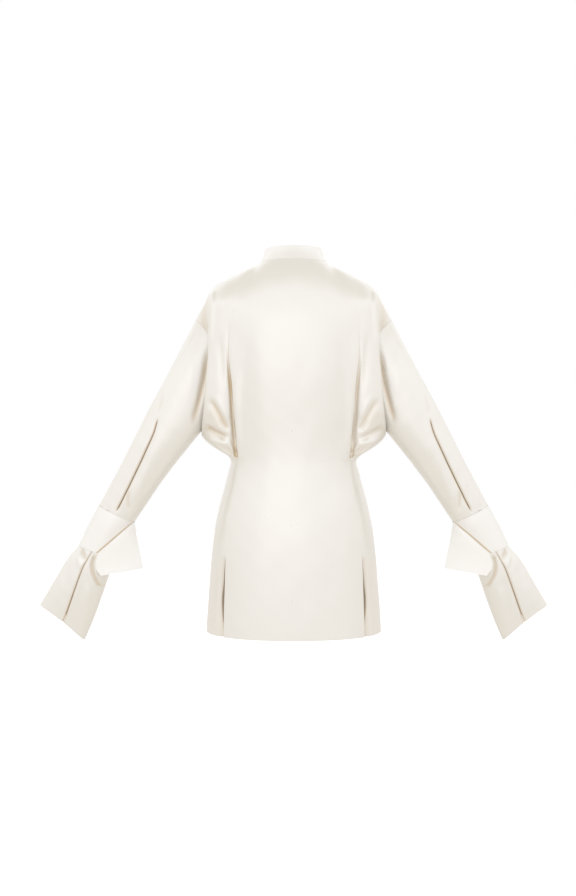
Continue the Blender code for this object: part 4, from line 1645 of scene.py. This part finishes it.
    def buttons(self) -> None:
        """Makes the buttons, each with its thread and its hole in the cloth."""
        blank = self._button_mesh()
        threads = bmesh.new()
        right = np.array([1.0, 0.0, 0.0])
        for number in range(self.button_count):
            z = self.button_top_z - self.button_spacing * number
            y, lean = self._surface(z)
            up = np.array([0.0, math.sin(lean), math.cos(lean)])
            out = np.array([0.0, -math.cos(lean), math.sin(lean)])
            foot = np.array([0.0, y, z])
            mesh = blank.copy()
            mesh.name = f"button_{number + 1}_pearl"
            places = np.empty(len(mesh.vertices) * 3)
            mesh.vertices.foreach_get("co", places)
            moved = foot + places.reshape(-1, 3) @ np.array([right, -out, up])
            mesh.vertices.foreach_set("co", moved.ravel())
            mesh.materials.clear()
            mesh.materials.append(self.pearl)
            mesh.shade_smooth()
            mesh.set_sharp_from_angle(angle=self.rim_angle)
            declare(placed(mesh.name, mesh), [f"button_{number + 1}"])
            top = foot + out * (self.button_thickness * self.face_share + self.thread_lift)
            reach = self.hole_reach * self.thread_share
            for sign in (1, -1):
                for aside in (-self.thread_gap, self.thread_gap):
                    middle = top + right * (sign * reach + aside)
                    self._bar(threads, middle - up * reach, middle + up * reach,
                              self.thread_radius)
            self._buttonhole(threads, foot - out * self.hole_sink, right, up)
        self._sewn("button_threads", threads)

    def _buttonhole(self, build: bmesh.types.BMesh, base: np.ndarray, right: np.ndarray,
                    up: np.ndarray) -> None:
        """Adds the close stitches round one upright buttonhole.

        Args:
            build: the bmesh that they go in.
            base: the hole's middle.
            right: the way towards +X.
            up: the way up the strip.
        """
        half = self.button_radius + self.hole_beyond
        near, far, radius = self.hole_stitch
        for side in (1, -1):
            for k in range(self.hole_stitches + 1):
                place = base + up * blend(-half, half, k / self.hole_stitches)
                self._bar(build, place + right * side * near, place + right * side * far,
                          radius, 5)
        for end in (1, -1):
            for k in range(self.tack_stitches):
                place = base + up * end * (half + self.tack_pitch * k)
                self._bar(build, place - right * self.tack_reach,
                          place + right * self.tack_reach, radius, 5)

    def stitches(self) -> None:
        """Makes the two rows of stitches along the strip's edges."""
        build = bmesh.new()
        grid = self.grid()
        outer = grid - ClothGrid(grid).normals() * PLACKET_THICKNESS
        for edge, inner in ((0, 1), (-1, -2)):
            line = outer[:, edge] + unit(outer[:, inner] - outer[:, edge]) * self.stitch_inset
            lengths = distances(line)
            for k in range(int(lengths[-1] / self.stitch_pitch) - 1):
                start = self.stitch_start + k * self.stitch_pitch
                ends = np.stack([np.interp((start, start + self.stitch_length), lengths, way)
                                 for way in line.T], axis=1)
                self._bar(build, *ends, self.stitch_radius, 5)
        self._sewn("placket_stitches", build)

    def build(self) -> None:
        """Makes the strip and what is sewn on it."""
        cloth = ClothGrid(self.grid()[:, ::-1])
        piece = cloth.make("placket_cloth", self.satin, PLACKET_THICKNESS, outwards=True)
        declare(piece, ["placket"])
        self.buttons()
        self.stitches()


class Nodes:
    """A short way to lay out a material's nodes."""

    def __init__(self, tree: bpy.types.NodeTree) -> None:
        """Takes the tree to fill."""
        self.tree = tree

    def feed(self, node: bpy.types.Node, inputs: dict) -> None:
        """Links sockets, or sets values, to a node's inputs by name or number.

        Args:
            node: the node.
            inputs: a socket or a value by each input's name or number.
        """
        for key, value in inputs.items():
            if isinstance(value, bpy.types.NodeSocket):
                self.tree.links.new(value, node.inputs[key])
            else:
                node.inputs[key].default_value = value

    def add(self, kind: str, inputs: dict | None = None, **values) -> bpy.types.Node:
        """Adds a node, sets its properties and feeds its inputs.

        Args:
            kind: Blender's name for its type.
            inputs: what its inputs get.
            values: its properties.

        Returns:
            The new node.
        """
        node = self.tree.nodes.new(kind)
        for name, value in values.items():
            setattr(node, name, value)
        self.feed(node, inputs or {})
        return node

    def maths(self, operation: str, first: Fed, second: Fed = 0.0) -> bpy.types.NodeSocket:
        """The result of a Math node on two sockets or numbers."""
        return self.add("ShaderNodeMath", {0: first, 1: second}, operation=operation).outputs[0]

    def mix(self, share: Fed, first: Fed, second: Fed,
            blend_type: str = "MIX") -> bpy.types.NodeSocket:
        """The result of a colour Mix node on sockets or colours.

        Args:
            share: how much of the second.
            first: a colour.
            second: a colour.
            blend_type: how they mix.

        Returns:
            The mixed colour.
        """
        colours = [value if isinstance(value, bpy.types.NodeSocket) else (*value, 1.0)
                   for value in (first, second)]
        return self.add("ShaderNodeMix", {0: share, 6: colours[0], 7: colours[1]},
                        data_type="RGBA", blend_type=blend_type).outputs[2]

    def noise(self, place: bpy.types.NodeSocket, detail: float, scale: float = 1.0,
              stretch: Triple | None = None) -> bpy.types.NodeSocket:
        """The value of a Noise texture, stretched where that is given.

        Args:
            place: the coordinates.
            detail: how many finer layers it has.
            scale: how fine it is.
            stretch: factors on the coordinates.

        Returns:
            The value.
        """
        if stretch:
            place = self.add("ShaderNodeMapping", {"Vector": place, "Scale": stretch}).outputs[0]
        return self.add("ShaderNodeTexNoise",
                        {"Vector": place, "Scale": scale, "Detail": detail}).outputs[0]

    def wave(self, inputs: dict, **values) -> bpy.types.NodeSocket:
        """The value of a Wave texture in the object's own coordinates."""
        place = self.add("ShaderNodeTexCoord").outputs["Object"]
        return self.add("ShaderNodeTexWave", {"Vector": place, **inputs}, **values).outputs["Fac"]


def new_finish(name: str) -> tuple[bpy.types.Material, Nodes, bpy.types.Node]:
    """Starts a finish.

    Args:
        name: the material's name.

    Returns:
        The material, its nodes and its shader.
    """
    made = bpy.data.materials.new(name)
    made.use_nodes = True
    return made, Nodes(made.node_tree), made.node_tree.nodes["Principled BSDF"]


def weave_group() -> bpy.types.NodeTree:
    """The satin's surface: long floats, faint slubs and soft unevenness.

    Returns:
        The node group, which every satin shares.
    """
    name = "satin_weave"
    if name in bpy.data.node_groups:
        return bpy.data.node_groups[name]
    tree = bpy.data.node_groups.new(name, "ShaderNodeTree")
    for label, way, kind in (("Cloth", "INPUT", "Vector"), ("Slub", "INPUT", "Float"),
                             ("Height", "OUTPUT", "Float"), ("Tone", "OUTPUT", "Float")):
        tree.interface.new_socket(label, in_out=way, socket_type=f"NodeSocket{kind}")
    nodes = Nodes(tree)
    given = nodes.add("NodeGroupInput").outputs
    floats = nodes.noise(given["Cloth"], 2.0, stretch=(3200.0, 520.0, 1.0))
    slub = nodes.noise(given["Cloth"], 3.0, stretch=(420.0, 14.0, 1.0))
    soft = nodes.noise(given["Cloth"], 1.0, 16.0)
    nodes.add("NodeGroupOutput", {
        "Height": nodes.maths("ADD", nodes.maths("MULTIPLY", floats, 0.5),
                              nodes.maths("MULTIPLY", slub, given["Slub"])),
        "Tone": nodes.maths("ADD", nodes.maths("MULTIPLY", soft, 0.7),
                            nodes.maths("MULTIPLY", slub, 0.3)),
    })
    return tree


@dataclass(frozen=True)
class Satin:
    """Ivory satin: smooth, with a broad soft gloss, and warm painted shade in its creases and
    hollows.
    """

    name: str = "ivory_satin"
    light: Triple = (0.920, 0.905, 0.878)
    dark: Triple = (0.905, 0.887, 0.852)
    # Painted shade: the dark gold-brown that the colour goes towards where a point's painted
    # shade is full, and the share of it taken there.
    deep: Triple = (0.640, 0.470, 0.250)
    painted_shade_share: float = 0.7
    roughness: float = 0.28
    roughness_play: float = 0.03
    metallic: float = 0.48
    specular: float = 0.60
    sheen: float = 0.10
    bump: float = 0.000012
    slub: float = 0.08

    def material(self) -> bpy.types.Material:
        """Makes the finish.

        Returns:
            The material.
        """
        made, nodes, shader = new_finish(self.name)
        cloth = nodes.add("ShaderNodeUVMap", uv_map="cloth").outputs[0]
        weave = nodes.add("ShaderNodeGroup", {"Cloth": cloth, "Slub": self.slub},
                          node_tree=weave_group()).outputs
        painted_shade = nodes.add("ShaderNodeAttribute", attribute_name="painted_shade").outputs["Fac"]
        colour = nodes.mix(weave["Tone"], self.light, self.dark)
        rough = nodes.maths("MULTIPLY", weave["Tone"], self.roughness_play)
        bump = nodes.add("ShaderNodeBump", {"Distance": self.bump, "Strength": 1.0,
                                            "Height": weave["Height"]})
        # Painted shade turns the colour towards the dark gold-brown.
        nodes.feed(shader, {
            "Base Color": nodes.mix(nodes.maths("MULTIPLY", painted_shade, self.painted_shade_share),
                                    colour, self.deep),
            "Roughness": nodes.maths("ADD", rough, self.roughness - self.roughness_play / 2),
            "Normal": bump.outputs[0],
            "Metallic": self.metallic,
            "Specular IOR Level": self.specular,
            "Sheen Weight": self.sheen,
            "Sheen Roughness": 0.35,
        })
        return made


@dataclass(frozen=True)
class Pearl:
    """Polished shell for the buttons."""

    name: str = "button_shell"
    light: Triple = (0.930, 0.910, 0.865)
    dark: Triple = (0.800, 0.775, 0.735)

    def material(self) -> bpy.types.Material:
        """Makes the finish, with cloudy growth bands.

        Returns:
            The material.
        """
        made, nodes, shader = new_finish(self.name)
        bands = nodes.wave({"Scale": 130.0, "Distortion": 6.0, "Detail": 2.0})
        nodes.feed(shader, {
            "Base Color": nodes.mix(bands, self.light, self.dark),
            "Roughness": nodes.maths("ADD", nodes.maths("MULTIPLY", bands, 0.10), 0.14),
            "Coat Weight": 0.4,
        })
        return made


@dataclass(frozen=True)
class Thread:
    """Ivory sewing thread."""

    name: str = "ivory_thread"
    light: Triple = (0.900, 0.870, 0.800)
    dark: Triple = (0.780, 0.740, 0.650)

    def material(self) -> bpy.types.Material:
        """Makes the finish, with a twist along the thread.

        Returns:
            The material.
        """
        made, nodes, shader = new_finish(self.name)
        twist = nodes.wave({"Scale": 900.0}, bands_direction="DIAGONAL")
        nodes.feed(shader, {"Base Color": nodes.mix(twist, self.light, self.dark),
                            "Roughness": 0.55, "Sheen Weight": 0.3})
        return made


@dataclass
class Studio:
    """Camera, soft light and a pale floor.

    Attributes:
        brightness: of the walls that light the cloth.
        side_light: the shade of the walls at the sides.
        wall_light: the walls' light by height, -1 at the floor and 1 at the ceiling.
        side_bow: how far up the light's levels bend between the back and the sides.
        edge_on_share: how much the walls before the wearer, which only cloth that is
            seen edge-on mirrors, count as side walls.
        side_power, side_share, side_fall: how the side shade comes in, how strong it
            is, and how much of it is lost above and below.
        lamp_power, lamp_size: of each of the two soft lamps.
    """

    floor_z: float = -1.47
    floor_radius: float = 9.0
    lens: float = 35.0
    brightness: float = 1.13
    side_light: Triple = (0.86, 0.835, 0.79)
    wall_light: tuple[tuple[float, float, float, float], ...] = (
        (-1.0, 0.72, 0.66, 0.56), (-0.40, 0.755, 0.722, 0.668), (-0.14, 0.85, 0.82, 0.79),
        (0.04, 0.928, 0.922, 0.91), (0.20, 0.967, 0.965, 0.965), (0.36, 1.0, 1.0, 1.0),
        (0.60, 1.0, 1.0, 1.0), (0.74, 0.725, 0.695, 0.625), (1.0, 0.68, 0.65, 0.575),
    )
    side_bow: float = 1.5
    edge_on_share: float = 2.5
    side_power: float = 1.6
    side_share: float = 0.95
    side_fall: float = 1.3
    lamp_power: float = 2.5
    lamp_size: float = 2.4

    def camera(self) -> None:
        """The camera, behind the wearer and level with the waist."""
        data = bpy.data.cameras.new("camera")
        data.lens = self.lens
        data.sensor_width = 36.0
        made = placed("camera", data)
        made.location = (VIEW_SHIFT, VIEW_DISTANCE, VIEW_HEIGHT)
        made.rotation_euler = (math.radians(90), 0.0, math.radians(180))
        bpy.context.scene.camera = made

    def floor(self) -> None:
        """A round, pale floor far below the hem."""
        build = bmesh.new()
        bmesh.ops.create_circle(build, cap_ends=True, segments=96, radius=self.floor_radius)
        bmesh.ops.translate(build, verts=build.verts, vec=(0.0, 0.0, self.floor_z))
        made, nodes, shader = new_finish("pale_floor")
        place = nodes.add("ShaderNodeTexCoord").outputs["Object"]
        cloud = nodes.add("ShaderNodeTexNoise", {"Vector": place, "Scale": 0.7}).outputs[0]
        nodes.feed(shader, {
            "Base Color": nodes.mix(cloud, (0.50, 0.50, 0.50), (0.52, 0.52, 0.52)),
            "Roughness": 0.9,
            "Specular IOR Level": 0.1,
            "Emission Color": (1.0, 1.0, 1.0, 1.0),
            "Emission Strength": 0.85,
        })
        piece = placed("floor", mesh_of("floor", build))
        piece.data.materials.append(made)
        piece.visible_diffuse = False
        piece.visible_glossy = False

    def world(self) -> None:
        """White for the eye; for the cloth, walls that fade towards floor and ceiling."""
        made = bpy.data.worlds.new("studio")
        made.use_nodes = True
        bpy.context.scene.world = made
        nodes = Nodes(made.node_tree)
        made.node_tree.nodes.clear()
        times, plus, minus, most = (partial(nodes.maths, operation) for operation in
                                    ("MULTIPLY", "ADD", "SUBTRACT", "MAXIMUM"))
        place = nodes.add("ShaderNodeTexCoord").outputs["Generated"]
        x, y, z = nodes.add("ShaderNodeSeparateXYZ", {0: place}).outputs
        side = times(x, x)
        bow = times(most(times(side, minus(0.5, side)), 0.0), most(z, 0.0))
        height = minus(z, times(bow, self.side_bow))
        ramp = nodes.add("ShaderNodeValToRGB", {0: plus(times(height, 0.5), 0.5)})
        stops = ramp.color_ramp.elements
        while len(stops) < len(self.wall_light):
            stops.new(0.5)
        for stop, (level, *light) in zip(stops, self.wall_light):
            stop.position = (level + 1.0) / 2.0
            stop.color = (*light, 1.0)
        ahead = most(times(y, -1.0), 0.0)
        edge_on = times(times(minus(1.0, times(ahead, ahead)), ahead), self.edge_on_share)
        aside = nodes.maths("POWER", nodes.maths("MINIMUM", plus(side, edge_on), 1.0),
                            self.side_power)
        level = times(nodes.maths("ABSOLUTE", z), self.side_fall)
        colour = nodes.mix(times(aside, minus(self.side_share, level)), ramp.outputs[0],
                           self.side_light, "MULTIPLY")
        light = nodes.add("ShaderNodeBackground", {"Color": colour, "Strength": self.brightness})
        white = nodes.add("ShaderNodeBackground",
                          {"Color": (1.0, 1.0, 1.0, 1.0), "Strength": 1.0})
        path = nodes.add("ShaderNodeLightPath").outputs["Is Camera Ray"]
        both = nodes.add("ShaderNodeMixShader",
                         {0: path, 1: light.outputs[0], 2: white.outputs[0]})
        nodes.add("ShaderNodeOutputWorld", {0: both.outputs[0]})

    def lamp(self, name: str, place: Triple,
             aim: Triple) -> None:
        """A square soft light that the camera doesn't see.

        Args:
            name: the light's name.
            place: where it stands.
            aim: the point that it faces.
        """
        data = bpy.data.lights.new(name, "AREA")
        data.size = self.lamp_size
        data.energy = self.lamp_power
        made = placed(name, data)
        made.visible_camera = False
        made.location = place
        step = np.array(aim) - np.array(place)
        made.rotation_euler = (math.atan2(math.hypot(step[0], step[1]), -step[2]), 0.0,
                               math.atan2(step[1], step[0]) - math.pi / 2)

    def build(self) -> None:
        """Sets the studio up."""
        scene = bpy.context.scene
        scene.view_settings.view_transform = "Standard"
        scene.view_settings.look = "None"
        self.camera()
        self.floor()
        self.world()
        self.lamp("soft_behind", (0.6, 3.6, 0.2), (0.0, 0.0, -0.3))
        self.lamp("soft_front", (-0.6, -3.6, 0.4), (0.0, 0.0, -0.3))


def main() -> None:
    """Builds the studio and every piece of the dress."""
    logging.basicConfig(level=logging.INFO, format="%(message)s")
    Studio().build()
    satin = Satin().material()
    # Lighter copies of the satin for the collar, the bands and the wings: partly the stiffened
    # cloth's own look, partly painted light for the brighter light on these parts.
    stiffened = Satin(name="stiffened_satin_painted_light", light=(0.962, 0.952, 0.940),
                      dark=(0.950, 0.938, 0.922), roughness=0.30, metallic=0.42).material()
    facing = Satin(name="facing_satin_painted_light", light=(0.995, 0.988, 0.980),
                   dark=(0.985, 0.976, 0.965), roughness=0.42, metallic=0.15,
                   specular=0.5).material()
    pearl = Pearl().material()
    thread = Thread().material()
    # The wrong side is matte, and its dark gold-brown is painted shade for the dim inside of the
    # dress, seen through the vents and openings.
    wrong_side = Satin(name="satin_wrong_side", light=(0.62, 0.55, 0.45),
                       dark=(0.57, 0.50, 0.40), roughness=0.62, metallic=0.0,
                       specular=0.3).material()
    body = Body(satin, wrong_side)
    body.build()
    Collar(body, stiffened).build()
    Placket(body, satin, pearl, thread).build()
    for side in Side:
        Arm(side, body, satin, stiffened, facing).build()


if __name__ == "__main__":
    main()
